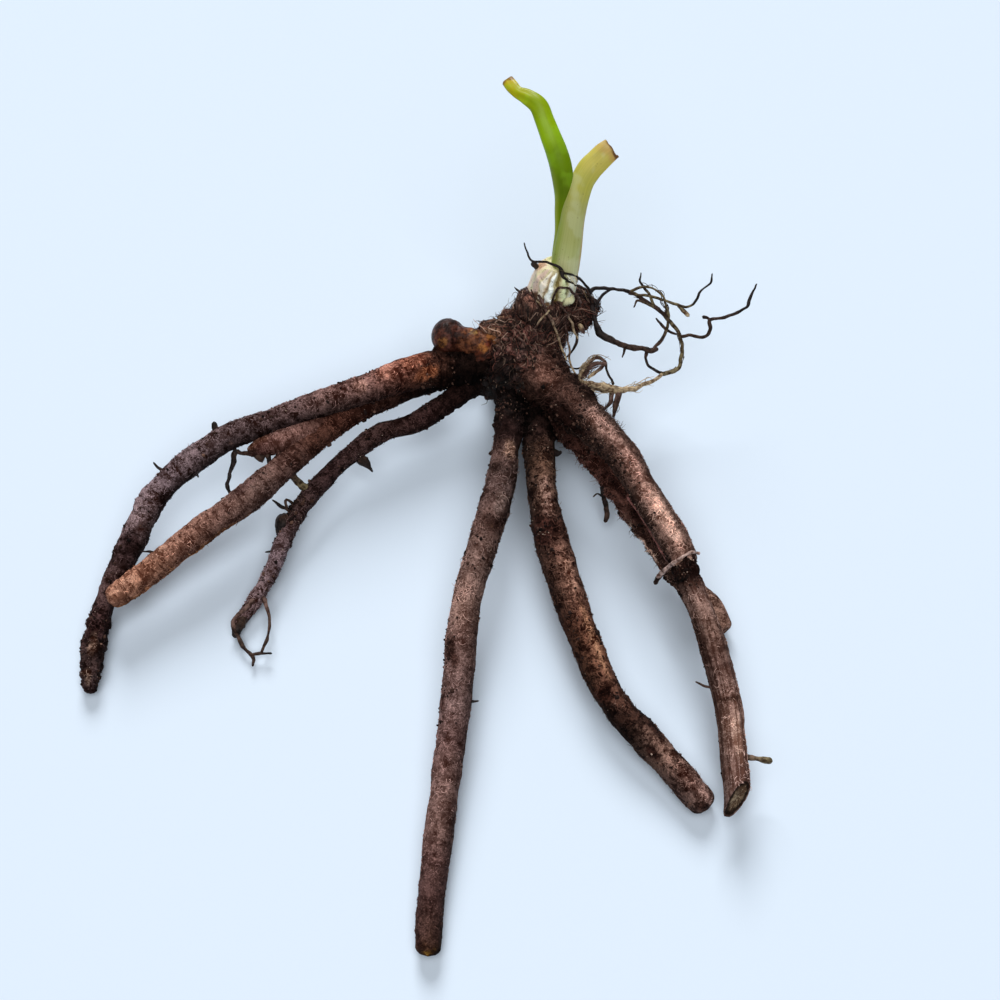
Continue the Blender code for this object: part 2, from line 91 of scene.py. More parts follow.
# A smooth curve through given stations (x, y, z, radius), read by the distance along it.
# A point of its skin goes out from the middle by the radius, the way that the turn gives: a quarter turn is up
class Course:
    def __init__(self, stations, hint=(0, 0, 1)):
        knots = np.array(stations, float)
        padded = np.vstack([2 * knots[0] - knots[1], knots, 2 * knots[-1] - knots[-2]])
        before, start, end, after = (padded[n:len(padded) - 3 + n, None] for n in range(4))
        t = (np.arange(40) / 40)[None, :, None]
        bend = t * t * (before - 2.5 * start + 2 * end - 0.5 * after)
        curve = start + 0.5 * t * (end - before) + bend + t**3 * (1.5 * (start - end) + 0.5 * (after - before))
        curve = np.vstack([curve.reshape(-1, 4), knots[-1:]])
        steps = np.linalg.norm(np.diff(curve[:, :3], axis=0), axis=1)
        self.far = np.concatenate([[0], np.cumsum(steps)])
        self.length = self.far[-1]
        self.lastRadius = knots[-1, 3]
        if hint is None:  # the way that the curve bends least
            hint = np.linalg.svd(curve[:, :3] - curve[:, :3].mean(0), full_matrices=False)[2][-1]
        tangent = unit(np.gradient(curve[:, :3], axis=0))
        side = unit(np.cross(tangent, hint))
        self.columns = np.hstack([curve, tangent, side, np.cross(side, tangent)])

    def read(self, far):
        inside = np.clip(far, 0, self.length)
        values = np.stack([np.interp(inside, self.far, column) for column in self.columns.T], axis=-1)
        tangent, side, up = unit(values[..., 4:7]), unit(values[..., 7:10]), unit(values[..., 10:13])
        return values[..., :3] + tangent * (far - inside)[..., None], values[..., 3], tangent, side, up

    def point(self, far, turn, swell=1.0, lift=0.0):
        middle, radius, _, side, up = self.read(far)
        out = side * np.cos(turn)[..., None] + up * np.sin(turn)[..., None]
        return middle + out * (radius * swell + lift)[..., None]


# The two numbers of a point on a tube: distances down the rows, a full turn along the columns
def turnGrid(start, reach, rows, columns):
    return np.meshgrid(np.linspace(start, reach, rows), np.arange(columns) * tau / columns, indexing="ij")


# Directions from the middle of a ball: rows from straight down to straight up, columns round it
def ballGrid(rows, columns, pole):
    tip, turn = turnGrid(pole, math.pi - pole, rows, columns)
    return np.stack([np.sin(tip) * np.cos(turn), np.sin(tip) * np.sin(turn), -np.cos(tip)], axis=-1)


# How much of its width a tube keeps: all, then a quarter circle over the last of its length
def roundEnd(far, reach, depth, least=0.001):
    return np.sqrt(np.clip(1 - np.clip((far - reach) / depth + 1, 0, 1) ** 2, least, 1))


# Turn and distance as a point on a straight pipe, and noise there, stretched to make rings or ridges
def pipeSkin(turn, far):
    return np.stack([np.cos(turn), np.sin(turn), far], axis=-1)


def skinNoise(skin, stretch, seed, layers=2):
    return layered(skin * np.array(stretch), 1.0, layers, seed)


def degreesApart(turn, angle):
    return (np.degrees(turn) - angle + 180) % 360 - 180


# A shape is its points in millimetres, blocks of faces, and marks: numbers that each point carries for the materials.
# A tube's skin joins neighbouring rows and columns of a grid; the last column meets the first, and a cap ends it
def tubeShape(points, marks):
    rows, columns = points.shape[:2]
    index = np.arange(rows * columns).reshape(rows, columns)
    beside = np.roll(index, -1, axis=1)
    quads = np.stack([index[:-1], index[1:], beside[1:], beside[:-1]], axis=-1).reshape(-1, 4)
    return points.reshape(-1, 3), [quads, index[:1, ::-1], index[-1:]], flatMarks(marks, rows * columns)


# A sheet's skin is a front and a back grid, and a strip round the edge that joins them
def sheetShape(front, back, marks):
    rows, columns = front.shape[:2]
    ahead = np.arange(rows * columns).reshape(rows, columns)
    quads = np.stack([ahead[:-1, :-1], ahead[1:, :-1], ahead[1:, 1:], ahead[:-1, 1:]], axis=-1).reshape(-1, 4)
    reverse = quads[:, ::-1] + rows * columns
    rim = np.concatenate([ahead[0, :-1], ahead[:-1, -1], ahead[-1, :0:-1], ahead[:0:-1, 0]])
    strip = np.stack([rim, np.roll(rim, -1), np.roll(rim, -1) + rows * columns, rim + rows * columns], axis=-1)
    both = {name: np.concatenate([values, values]) for name, values in flatMarks(marks, rows * columns).items()}
    return np.concatenate([front.reshape(-1, 3), back.reshape(-1, 3)]), [quads, reverse, strip], both


def flatMarks(marks, count):
    return {name: values.reshape(count, *values.shape[2:]) for name, values in marks.items()}


def joined(shapes):
    starts = np.cumsum([0] + [len(points) for points, _, _ in shapes[:-1]])
    points = np.vstack([shape[0] for shape in shapes])
    faces = [block + start for shape, start in zip(shapes, starts) for block in shape[1]]
    return points, faces, {name: np.concatenate([shape[2][name] for shape in shapes]) for name in shapes[0][2]}


# Many thin fibres at once: each path gets a small ring of points at every step, and thins towards its tip
def strandShape(paths, thickness, hue, tint, sides=3, profile=None):
    count, steps = paths.shape[:2]
    tangent = unit(np.gradient(paths, axis=1))
    side = unit(np.cross(tangent, (0.31, 0.47, 0.83)))
    up = np.cross(side, tangent)
    turn = (np.arange(sides) * tau / sides)[None, None, :, None]
    profile = 1 - 0.7 * np.linspace(0, 1, steps) ** 2 if profile is None else np.array(profile)
    taper = profile[None, :, None, None] * thickness[:, None, None, None]
    points = paths[:, :, None] + (side[:, :, None] * np.cos(turn) + up[:, :, None] * np.sin(turn)) * taper
    points[..., 2] = np.maximum(points[..., 2], lowest)
    index = np.arange(count * steps * sides).reshape(count, steps, sides)
    beside = np.roll(index, -1, axis=2)
    quads = np.stack([index[:, :-1], index[:, 1:], beside[:, 1:], beside[:, :-1]], axis=-1).reshape(-1, 4)
    marks = {"hue": np.repeat(hue, steps * sides, axis=0), "tint": np.repeat(tint, steps * sides)}
    return points.reshape(-1, 3), [quads, index[:, 0, ::-1], index[:, -1]], marks


def painted(tint, points):
    return np.broadcast_to(shade(tint), points.shape)


# Colours laid on a shape: each daub (centre, size, colour) covers what lies within its size, with a ragged edge
def daubed(points, hue, daubs, seed=0):
    rag = 0.3 * layered(points, 1.4, 3, seed)
    for centre, size, tint in daubs:
        apart = np.linalg.norm((points - np.array(centre)) / size, axis=-1)
        share = smooth(1.15, 0.75, apart + rag)[..., None]
        hue = mixed(hue, shade(tint), share)
    return hue


def makePiece(name, shape, material, slot, *nodes):
    points, faces, marks = shape
    mesh = bpy.data.meshes.new(name)
    mesh.from_pydata((points * mm).tolist(), [], [face for block in faces for face in block.tolist()])
    for markName, values in marks.items():
        layer = mesh.attributes.new(markName, "FLOAT_VECTOR" if values.ndim == 2 else "FLOAT", "POINT")
        layer.data.foreach_set("vector" if values.ndim == 2 else "value", values.astype(np.float32).ravel())
    work = bmesh.new()
    work.from_mesh(mesh)
    bmesh.ops.recalc_face_normals(work, faces=work.faces)
    work.to_mesh(mesh)
    work.free()
    mesh.shade_smooth()
    mesh.materials.append(material)
    piece = bpy.data.objects.new(name, mesh)
    bpy.context.scene.collection.objects.link(piece)
    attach(piece, "root")
    if nodes:
        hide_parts(*nodes)
    return piece


# A socket that can stand in a sum: each operator adds its Math node
class Signal:
    def __init__(self, recipe, socket):
        self.recipe, self.socket = recipe, socket

    def maths(self, operation, first, second):
        return self.recipe.node("Math", {"operation": operation}, {0: first, 1: second})

    def __add__(self, other):
        return self.maths("ADD", self, other)

    def __sub__(self, other):
        return self.maths("SUBTRACT", self, other)

    def __rsub__(self, other):
        return self.maths("SUBTRACT", other, self)

    def __mul__(self, other):
        return self.maths("MULTIPLY", self, other)

    __radd__ = __add__
    __rmul__ = __mul__


class Recipe:
    def __init__(self, name, **fixed):
        self.material = bpy.data.materials.new(name)
        self.material.use_nodes = True
        self.tree = self.material.node_tree
        self.shader = self.tree.nodes["Principled BSDF"]
        for socket, value in fixed.items():
            self.shader.inputs[socket.replace("_", " ")].default_value = value
        self.place = self.node("TexCoord", {}, {}, "Object")

    def node(self, kind, settings, sockets, output=0):
        made = self.tree.nodes.new("ShaderNode" + kind)
        for name, value in settings.items():
            setattr(made, name, value)
        for name, value in sockets.items():
            if isinstance(value, Signal):
                self.tree.links.new(value.socket, made.inputs[name])
            else:
                made.inputs[name].default_value = value
        return Signal(self, made.outputs[output])

    def mark(self, name, output="Fac"):
        return self.node("Attribute", {"attribute_name": name}, {}, output)

    def noise(self, size, detail=2.0, rough=0.5, where=None, twist=0.0):
        sockets = {"Vector": where or self.place, "Scale": 1 / (size * mm), "Detail": detail, "Roughness": rough}
        return self.node("TexNoise", {}, {**sockets, "Distortion": twist})

    def skinNoise(self, stretch, detail=2.0, rough=0.5):
        where = self.node("VectorMath", {"operation": "MULTIPLY"}, {0: self.mark("skin", "Vector"), 1: stretch})
        return self.noise(1 / mm, detail, rough, where)

    def curls(self, size, width):  # thin curly lines: where a twisted noise crosses its middle
        apart = self.noise(size, 2.0, 0.5, None, 0.8) - 0.5
        return self.step(apart.maths("ABSOLUTE", apart, 0.0), width, width * 0.3)

    def patches(self, size, detail, rough, low, high, twist=0.0):
        return self.step(self.noise(size, detail, rough, None, twist), low, high)

    def step(self, value, low, high):
        settings = {"interpolation_type": "SMOOTHSTEP"}
        return self.node("MapRange", settings, {"Value": value, "From Min": low, "From Max": high})

    def blend(self, share, first, second, way="MIX"):
        settings = {"data_type": "RGBA", "blend_type": way}
        return self.node("Mix", settings, {0: share, 6: first, 7: second}, 2)

    def finish(self, base, rough, height=None, depth=0.1, strength=1.0):
        self.tree.links.new(base.socket, self.shader.inputs["Base Color"])
        self.shader.inputs["Roughness"].default_value = rough
        if height is not None:
            bump = self.node("Bump", {}, {"Strength": strength, "Distance": depth * mm, "Height": height})
            self.tree.links.new(bump.socket, self.shader.inputs["Normal"])
        return self.material


# Camera, light and floor: a wide window behind the plant, and a ceiling that lights it softly from above
stageLook = {
    "target": (18.7, 11.5, 8.0), "elevation": 65, "distance": 451.4, "lens": 65,
    "floor": (0.685, 0.785, 0.902, 1.0), "floorHalf": 4000, "floorDrop": 0.05,
    "sky": (1.0, 1.0, 1.0, 1.0), "skyStrength": 0.06,
    "window": {"from": (-500, 5000, 3300), "size": 2700, "power": 320, "tint": (1.0, 1.0, 1.0)},
    "ceiling": {"from": (0, -700, 2400), "size": 3000, "power": 52, "tint": (1.0, 1.0, 1.0)},
}


def setStage(look):
    scene = bpy.context.scene
    scene.view_settings.view_transform = "Standard"
    rise = math.radians(look["elevation"])
    target = np.array(look["target"])
    camera = bpy.data.objects.new("camera", bpy.data.cameras.new("camera"))
    scene.collection.objects.link(camera)
    camera.data.lens, camera.data.sensor_width = look["lens"], 36
    camera.data.clip_start = 0.01
    camera.location = (target + np.array([0, -math.cos(rise), math.sin(rise)]) * look["distance"]) * mm
    camera.rotation_euler = (math.pi / 2 - rise, 0, 0)
    scene.camera = camera
    for name in ("window", "ceiling"):
        lamp = look[name]
        light = bpy.data.lights.new(name, "AREA")
        light.shape, light.size, light.energy, light.color = "DISK", lamp["size"] * mm, lamp["power"], lamp["tint"]
        stand = bpy.data.objects.new(name, light)
        scene.collection.objects.link(stand)
        stand.location = (target + np.array(lamp["from"])) * mm
        aim = unit(np.array(lamp["from"], float))
        stand.rotation_euler = (math.acos(aim[2]), 0, math.atan2(aim[0], -aim[1]))
    world = bpy.data.worlds.new("sky")
    scene.world = world
    world.use_nodes = True
    world.node_tree.nodes["Background"].inputs["Color"].default_value = look["sky"]
    world.node_tree.nodes["Background"].inputs["Strength"].default_value = look["skyStrength"]
    plane = bpy.data.meshes.new("floor")
    half, height = look["floorHalf"] * mm, -look["floorDrop"] * mm
    corners = [(-half, -half, height), (half, -half, height), (half, half, height), (-half, half, height)]
    plane.from_pydata(corners, [], [(0, 1, 2, 3)])
    surface = Recipe("floorPaint", Roughness=0.9, Specular_IOR_Level=0.0)
    surface.shader.inputs["Base Color"].default_value = look["floor"]
    plane.materials.append(surface.material)
    floor = bpy.data.objects.new("floor", plane)
    scene.collection.objects.link(floor)


setStage(stageLook)
print("stage set")


# Bark. A shape's own hue is its middle tone. Felt whose fine curls lie thick in some patches and thin in others lifts
# it, and rings across, streaks along and pits sink it, between a deep and a pale version of the hue
barkEnds = {"deep": (0.14, 0.05, 0.02), "pale": (3.4, 4.1, 4.5)}
exposure = np.array([1.5, 1.41, 1.34])  # how much brighter than its hue a root, crumb or fibre is shown


def toned(recipe, height, contrast):
    deep, pale = ((*(1 + (np.array(barkEnds[name]) - 1) * contrast).tolist(), 1.0) for name in ("deep", "pale"))
    return recipe.blend(1.0, recipe.mark("hue", "Color"), recipe.blend(height, deep, pale), "MULTIPLY")


def barkMaterial(name, look):
    recipe = Recipe(name, Specular_IOR_Level=0.05)
    patch = recipe.patches(look["patch"], 3.0, 0.6, 0.38, 0.62)
    slow = recipe.patches(look["patch"] * 2.7, 2.0, 0.5, 0.38, 0.62)
    cover = patch * 0.6 + slow * 0.4
    felt = recipe.step(recipe.noise(look["felt"], 2.0, 0.65, None, 1.2) + (cover - 0.5) * look["crowd"], 0.50, 0.56)
    curl = recipe.curls(look["felt"] * 1.5, 0.05) * cover * look["curls"]
    fleck = recipe.patches(0.36, 1.0, 0.5, 0.56, 0.64)
    speck = recipe.patches(0.42, 0.0, 0.5, 0.73, 0.78)
    ring = recipe.step(recipe.skinNoise((0.6, 0.6, 1 / look["ringGap"]), 2.0, 0.6), 0.50, 0.60)
    streak = recipe.step(recipe.skinNoise((4.2, 4.2, 0.07), 3.0, 0.6), 0.47, 0.60)
    pit = recipe.patches(0.9, 2.0, 0.6, 0.54, 0.60)
    sunk = ring * look["rings"] + streak * look["streaks"] + pit * look["pits"]
    raised = felt * 0.26 + curl * 0.28 + fleck * (felt * 0.34 + 0.07) + speck * 0.3
    level = cover * 0.16 + raised * look["lift"] * 1.7 + 0.06 - sunk * 0.22
    height = felt * 0.3 + curl * 0.4 - sunk + recipe.noise(0.22) * 0.5
    return recipe.finish(toned(recipe, level, look["contrast"]), 0.85, height, 0.16, 0.9)


usualBark = {
    "felt": 0.75, "crowd": 0.3, "lift": 0.5, "ringGap": 1.5, "rings": 0.3, "streaks": 0, "pits": 0.4,
    "curls": 1.0, "contrast": 0.95,
}
barkLooks = {
    "mottledBark": {"patch": 2.2, "felt": 0.8, "lift": 0.55, "ringGap": 1.3, "rings": 0.6, "pits": 0.5},
    "ringedBark": {"patch": 2.6, "crowd": 0.25, "ringGap": 0.8, "rings": 0.9, "contrast": 0.8},
    "thinBark": {
        "patch": 1.8, "felt": 0.7, "crowd": 0.35, "lift": 0.65, "ringGap": 1.2, "rings": 0.5, "streaks": 0.1,
        "pits": 0.5,
    },
    "speckledBark": {"patch": 3.0, "felt": 0.7, "crowd": 0.2, "pits": 0.35, "contrast": 0.85},
    "goldenBark": {"patch": 2.2, "felt": 0.55, "crowd": 0.6, "lift": 0.78, "pits": 0.6, "contrast": 1.0},
    "pinkBark": {"patch": 2.6, "lift": 0.6, "ringGap": 1.8, "rings": 0.2, "contrast": 0.85},
    "striatedBark": {
        "patch": 3.2, "felt": 0.7, "crowd": 0.25, "lift": 0.4, "ringGap": 2.2, "streaks": 1.3, "pits": 0.2,
        "curls": 0.3, "contrast": 0.75,
    },
    "hairyBark": {"patch": 1.8, "crowd": 0.4, "lift": 0.65, "ringGap": 1.6, "streaks": 0.1, "pits": 0.5},
}
barks = {name: barkMaterial(name, {**usualBark, **look}) for name, look in barkLooks.items()}


def strandMaterial(name, contrast, rough=0.6):
    recipe = Recipe(name, Specular_IOR_Level=0.1)
    return recipe.finish(toned(recipe, recipe.mark("tint"), contrast), rough)


feltPaint = strandMaterial("feltHair", 1.0)
print("barks mixed")

# Storage roots. hues: the middle tone by distance along, the root's own colour with painted light and shade in it:
# darker near the crown, part soil and part painted shade, and lighter where a root is lit; the sides that are painted
# darker as shade, and how much; spots of another colour, some soil and pale skin, others painted shade and painted
# highlight: (distance along, turn, length, spread, colour); felt: (from, to, how many hairs, how loose)
usualRoot = {"columns": 40, "ridges": 0}
storageRoots = {
    "farLeftRoot": {
        "bark": "mottledBark", "lumps": 0.4, "rings": 0.14, "ringGap": 1.6,
        "course": [
            (20, 46, 14, 6), (13, 47, 15, 5.3), (6, 46.4, 15, 4.8), (-5, 42.2, 17, 4.3), (-17.5, 36.9, 18, 3.6),
            (-30, 32, 18, 3.3), (-42.5, 27.4, 17, 3.2), (-51.4, 23.6, 16, 3.2), (-60.5, 16.8, 14, 3.3),
            (-66.6, 10.8, 12, 3.3), (-72.9, -1.8, 8.5, 3.1), (-77.6, -13, 5.5, 2.6), (-79.6, -21, 4.2, 2.6),
            (-80.5, -28, 3.2, 2.6), (-80.2, -36.4, 2.2, 1.7),
        ],
        "hues": [
            (0, 20, 10, 7), (14, 17, 8, 6), (20, 60, 35, 27), (28, 98, 59, 48), (37, 96, 67, 61), (47, 90, 65, 60),
            (57, 78, 58, 56), (67, 72, 55, 54), (78, 82, 65, 65), (92, 86, 69, 71), (104, 100, 80, 80),
            (112, 54, 38, 38), (122, 62, 44, 42), (132, 46, 28, 27), (140, 52, 37, 35), (150, 62, 46, 45),
        ],
        "paintedShadeSides": [(205, 0.75)],
        "spots": [
            (24, 70, 4, 40, (136, 84, 66)), (22, 130, 3, 25, (124, 72, 48)), (31, 80, 3, 40, (134, 88, 74)),
            (39, 100, 2, 30, (118, 84, 74)), (134, 90, 3, 40, (30, 14, 12)), (150, 60, 3, 40, (24, 12, 10)),
            (137, 100, 3.5, 22, (96, 73, 62)), (145, 80, 2.5, 26, (88, 68, 58)), (96, 150, 2, 40, (34, 20, 19)),
            (110, 100, 3, 60, (32, 18, 17)),
        ],
        "felt": [(18, 150, 1250, 0.12)], "crusts": [(0, 19, 1.0), (131, 152, 0.9), (95, 104, 0.4)],
        "crumbs": [(4, 24, 180, 60, 160), (30, 150, 40, 70, 300), (128, 152, 60, 90, 200)],
    },
    "leftRoot": {
        "bark": "ringedBark", "lumps": 0.3, "rings": 0.16, "ringGap": 1.0,
        "course": [
            (16, 46, 12, 4.6), (3.5, 45.3, 11, 3.7), (-7, 40.5, 12, 3.4), (-21, 32.1, 13, 3.3),
            (-30, 23.8, 13.5, 3.6), (-37, 16, 13.5, 3.6), (-44.5, 9, 13, 3.5), (-54.5, 1.5, 12, 3.25),
            (-67.5, -9.5, 10.5, 3.2), (-75, -15.5, 10, 2.9),
        ],
        "hues": [
            (0, 11, 6, 5), (16, 17, 9, 7), (24, 36, 20, 16), (32, 62, 38, 31), (42, 74, 44, 35), (52, 66, 40, 32),
            (60, 78, 54, 48), (70, 86, 64, 58), (80, 98, 70, 62), (92, 120, 84, 71), (102, 126, 86, 69),
            (110, 132, 90, 72), (116, 118, 80, 64), (119, 84, 58, 50),
        ],
        "paintedShadeSides": [(200, 0.45)],
        "spots": [
            (88, 186, 14, 16, (98, 62, 38)), (108, 186, 9, 16, (108, 68, 44)), (98, 60, 3, 30, (136, 100, 84)),
            (110, 90, 4, 30, (142, 102, 84)), (72, 60, 5, 30, (70, 48, 44)),
        ],
        "felt": [(24, 116, 950, 0.08)], "crusts": [(0, 20, 0.6)],
        "crumbs": [(12, 60, 180, 60, 120), (60, 116, 20, 70, 60)],
    },
    "brokenRoot": {
        "bark": "ringedBark", "columns": 36, "lumps": 0.35, "rings": 0.12, "ringGap": 1.2,
        "course": [
            (-19, 33, 13, 2.6), (-26, 29, 14, 3), (-34, 25.3, 15, 3.2), (-40.6, 22.8, 15, 2.7),
            (-43.2, 21.5, 14.9, 1.7),
        ],
        "hues": [(0, 62, 36, 28), (12, 88, 60, 53), (20, 112, 80, 73), (25, 92, 62, 57), (28, 40, 26, 22)],
        "paintedShadeSides": [(205, 0.4)], "spots": [(25, 60, 3, 40, (120, 84, 70))], "felt": [(2, 24, 150, 0.06)],
    },
    "thinRoot": {
        "bark": "thinBark", "columns": 32, "lumps": 0.3, "rings": 0.1, "ringGap": 1.3, "ridges": 0.05,
        "course": [
            (17, 44, 11, 3.8), (11, 43, 10, 3.3), (5.5, 38.3, 9.5, 2.8), (-3.5, 32.5, 9, 2.7), (-11.5, 29.7, 9, 2.5),
            (-18.2, 24.8, 8.5, 2.4), (-27.3, 15.2, 7.5, 2.35), (-33.4, 5.6, 6.5, 2.15), (-38, -7, 5, 1.8),
            (-41.2, -12.5, 3.5, 1.8), (-45.5, -19.5, 2, 1.6),
        ],
        "hues": [
            (0, 12, 6, 5), (12, 22, 10, 8), (20, 44, 27, 25), (30, 53, 35, 32), (42, 56, 38, 36), (50, 40, 25, 24),
            (60, 54, 38, 36), (68, 74, 55, 54), (76, 94, 75, 77), (85, 92, 72, 72), (96, 92, 68, 66),
        ],
        "paintedShadeSides": [(200, 0.4)], "spots": [(63, 30, 3, 50, (22, 11, 9))], "felt": [(14, 92, 850, 0.14)],
        "crusts": [(0, 18, 0.4), (60, 70, 0.5)], "crumbs": [(10, 92, 90, 90, 220), (58, 72, 60, 80, 200)],
    },
    "middleRoot": {
        "bark": "speckledBark", "lumps": 0.32, "rings": 0.06, "ringGap": 1.6, "ridges": 0.02,
        "course": [
            (23, 46, 13, 4), (21.5, 40, 14, 3.1), (20.5, 25.5, 15, 3.3), (18.3, 10, 15, 3.7), (14, -5.5, 14, 3.6),
            (10.5, -18.5, 12, 3.6), (9, -34, 10, 3.7), (7, -52.5, 7.3, 3.6), (4.5, -74, 4.9, 3.4), (3, -88, 3.5, 3.2),
            (2.4, -98.4, 2.8, 2.9),
        ],
        "hues": [
            (0, 14, 8, 7), (15, 15, 9, 8), (20, 40, 25, 23), (27, 70, 50, 45), (36, 80, 61, 57), (46, 76, 54, 48),
            (56, 100, 76, 69), (66, 114, 86, 77), (76, 94, 69, 63), (90, 95, 72, 68), (100, 90, 65, 61),
            (112, 101, 75, 69), (120, 96, 71, 65), (127, 78, 54, 50), (135, 58, 38, 35), (145, 52, 33, 28),
            (149, 50, 30, 18),
        ],
        "paintedShadeSides": [(178, 0.55)],
        "spots": [
            (20, 60, 4, 60, (26, 14, 12)), (38, 20, 3, 40, (38, 20, 16)), (46, 110, 2.5, 40, (38, 21, 17)),
            (31, 60, 2, 40, (38, 24, 20)), (26, 110, 3, 30, (104, 78, 66)), (40, 115, 3, 24, (94, 74, 68)),
            (78, 45, 3, 26, (36, 18, 13)), (81, 70, 2, 20, (44, 24, 19)), (90, 30, 3, 20, (52, 31, 27)),
            (149.5, 90, 1.4, 60, (120, 84, 28)),
        ],
        "felt": [(10, 70, 2000, 0.14), (62, 148, 900, 0.04)], "crusts": [(0, 22, 0.8), (36, 44, 0.3)],
        "crumbs": [(6, 28, 90, 80, 260), (28, 70, 90, 80, 160), (70, 96, 30, 30, 90)],
    },
    "middleRightRoot": {
        "bark": "goldenBark", "lumps": 0.36, "rings": 0.07, "ringGap": 1.5, "ridges": 0.03,
        "course": [
            (25, 46, 12, 4), (26.5, 40, 12, 3.2), (28.5, 24.5, 13, 3.8), (29.3, 10, 12.5, 3.7), (31.2, 0, 11.8, 4.1),
            (34.5, -12.5, 10.5, 4), (39.5, -27, 8.5, 3.8), (45.3, -40, 6.6, 3.7), (56, -52.5, 4.5, 3.6),
            (66.2, -64.6, 3, 3.35),
        ],
        "hues": [
            (0, 20, 11, 10), (15, 10, 4, 3), (20, 34, 20, 17), (28, 66, 44, 34), (36, 84, 59, 49), (44, 52, 30, 24),
            (52, 80, 53, 44), (62, 90, 60, 49), (70, 74, 44, 33), (78, 82, 51, 38), (88, 62, 38, 30),
            (98, 38, 22, 17), (108, 98, 71, 61), (116, 96, 68, 60), (124, 112, 84, 76),
        ],
        "paintedShadeSides": [(10, 0.75), (185, 0.6)],
        "spots": [
            (76, 112, 11, 14, (112, 77, 58)), (58, 110, 6, 20, (118, 84, 70)), (38, 100, 5, 25, (106, 78, 68)),
            (88, 60, 3, 40, (34, 15, 10)), (102, 130, 3, 24, (24, 10, 7)), (106, 60, 3, 20, (26, 10, 7)),
            (46, 60, 4, 60, (36, 17, 13)), (124, 60, 3, 40, (40, 22, 17)),
        ],
        "felt": [(10, 56, 1500, 0.14), (56, 124, 2000, 0.12)], "crusts": [(0, 24, 0.8), (44, 50, 0.4)],
        "crumbs": [(6, 50, 90, 80, 380), (50, 124, 70, 70, 180)],
    },
    "rightRoot": {
        "bark": "pinkBark", "columns": 44, "lumps": 0.34, "rings": 0.04, "ringGap": 2.0, "until": 66, "lip": 0.9,
        "course": [
            (27, 45, 16, 7), (32.4, 37.4, 18, 5.6), (36.6, 32.2, 19.3, 5.1), (42, 26, 20, 4.6), (48.7, 18.2, 20, 4.1),
            (54, 8.5, 19, 3.7), (61.5, -5, 17, 3.7), (64.3, -14.5, 15.5, 3.2), (68.3, -26, 14, 3.2),
            (72.3, -42.5, 11.5, 3.3), (73, -50, 10.5, 3.3), (73.6, -63, 9.8, 3.3), (73.6, -67.3, 9.5, 3.2),
        ],
        "hues": [
            (0, 108, 74, 64), (8, 100, 68, 58), (14, 70, 46, 39), (19, 68, 45, 38), (26, 104, 76, 67),
            (34, 100, 71, 62), (44, 126, 91, 80), (52, 148, 112, 99), (62, 138, 102, 90), (68, 112, 84, 74),
        ],
        "paintedShadeSides": [(-6, 0.85), (167, 0.85)],
        # The pale spots at turns 88 to 92, 28 to 54 along, are a painted highlight; the dark ones at turns 160 to 165
        # are painted shade, and the one at turn 30 is painted shade over soil
        "spots": [
            (28, 92, 6, 24, (132, 100, 90)), (40, 90, 5, 20, (144, 108, 97)), (54, 88, 8, 24, (160, 126, 112)),
            (46, 165, 6, 20, (70, 46, 39)), (35, 165, 5, 20, (64, 42, 35)), (20, 30, 10, 34, (26, 12, 9)),
            (58, 160, 5, 14, (84, 56, 48)), (66.5, 90, 0.8, 200, (150, 120, 106)),
        ],
        "felt": [(0, 30, 1900, 0.35), (30, 64, 1500, 0.12)], "crusts": [(0, 22, 1.1)],
        "crumbs": [(2, 24, 90, 90, 420), (16, 64, 20, 26, 420)],
    },
    "rightRootEnd": {
        "bark": "striatedBark", "columns": 44, "lumps": 0.25, "rings": 0.03, "ringGap": 2.4, "ridges": 0.28,
        "from": 58,
        "course": [
            (27, 45, 16, 7.4), (32.4, 37.4, 18.3, 5.8), (36.6, 32.2, 19.3, 5.2), (42, 26, 20, 4.6),
            (48.7, 18.2, 20, 4), (54, 8.5, 19, 3.4), (61.5, -5, 17, 3.2), (64.3, -14.5, 15.5, 3.15),
            (68.3, -26, 14, 3.2), (72.3, -42.5, 11.5, 3.3), (73, -50, 10.5, 3.3), (73.6, -63, 9.8, 3.3),
            (73.6, -67.3, 9.5, 3.2),
        ],
        "cut": ((74.2, -64.9, 9.6), (0.60, -0.66, 0.45)),
        "hues": [
            (58, 36, 20, 16), (67, 34, 19, 16), (70, 66, 46, 42), (75, 122, 94, 85), (84, 104, 78, 69),
            (92, 96, 71, 64), (100, 124, 95, 86), (108, 146, 114, 102), (116, 132, 102, 93), (125, 134, 106, 98),
        ],
        "paintedShadeSides": [(0, 0.55), (185, 0.3)],
        "spots": [
            (69, 90, 2.4, 130, (30, 15, 12)), (86, 40, 6, 20, (44, 27, 22)), (89, 150, 1.0, 40, (40, 22, 17)),
            (101, 90, 0.7, 90, (66, 44, 36)), (110, 110, 6, 24, (162, 130, 116)),
        ],
        "felt": [(66, 122, 600, 0.03)], "crusts": [(64, 73, 0.5)],
        "crumbs": [(66, 74, 90, 90, 200), (74, 118, 10, 30, 24)],
    },
    "underRightRoot": {
        "bark": "hairyBark", "columns": 36, "lumps": 0.4, "rings": 0.05, "ringGap": 1.6, "ridges": 0.06,
        "course": [
            (29, 38, 13, 5), (35.3, 31.2, 11, 3.8), (45.5, 18.5, 10, 3.1), (55.2, 2.7, 8, 2.6), (64, -9.4, 5.5, 2.8),
            (70, -15.4, 4, 3), (73, -20.6, 2.8, 2.6),
        ],
        "hues": [
            (0, 34, 18, 15), (12, 42, 23, 19), (22, 76, 46, 39), (36, 74, 46, 39), (44, 56, 35, 29), (52, 58, 39, 33),
            (58, 80, 57, 50), (62, 98, 73, 63), (78, 86, 60, 50),
        ],
        "paintedShadeSides": [(0, 0.3)],
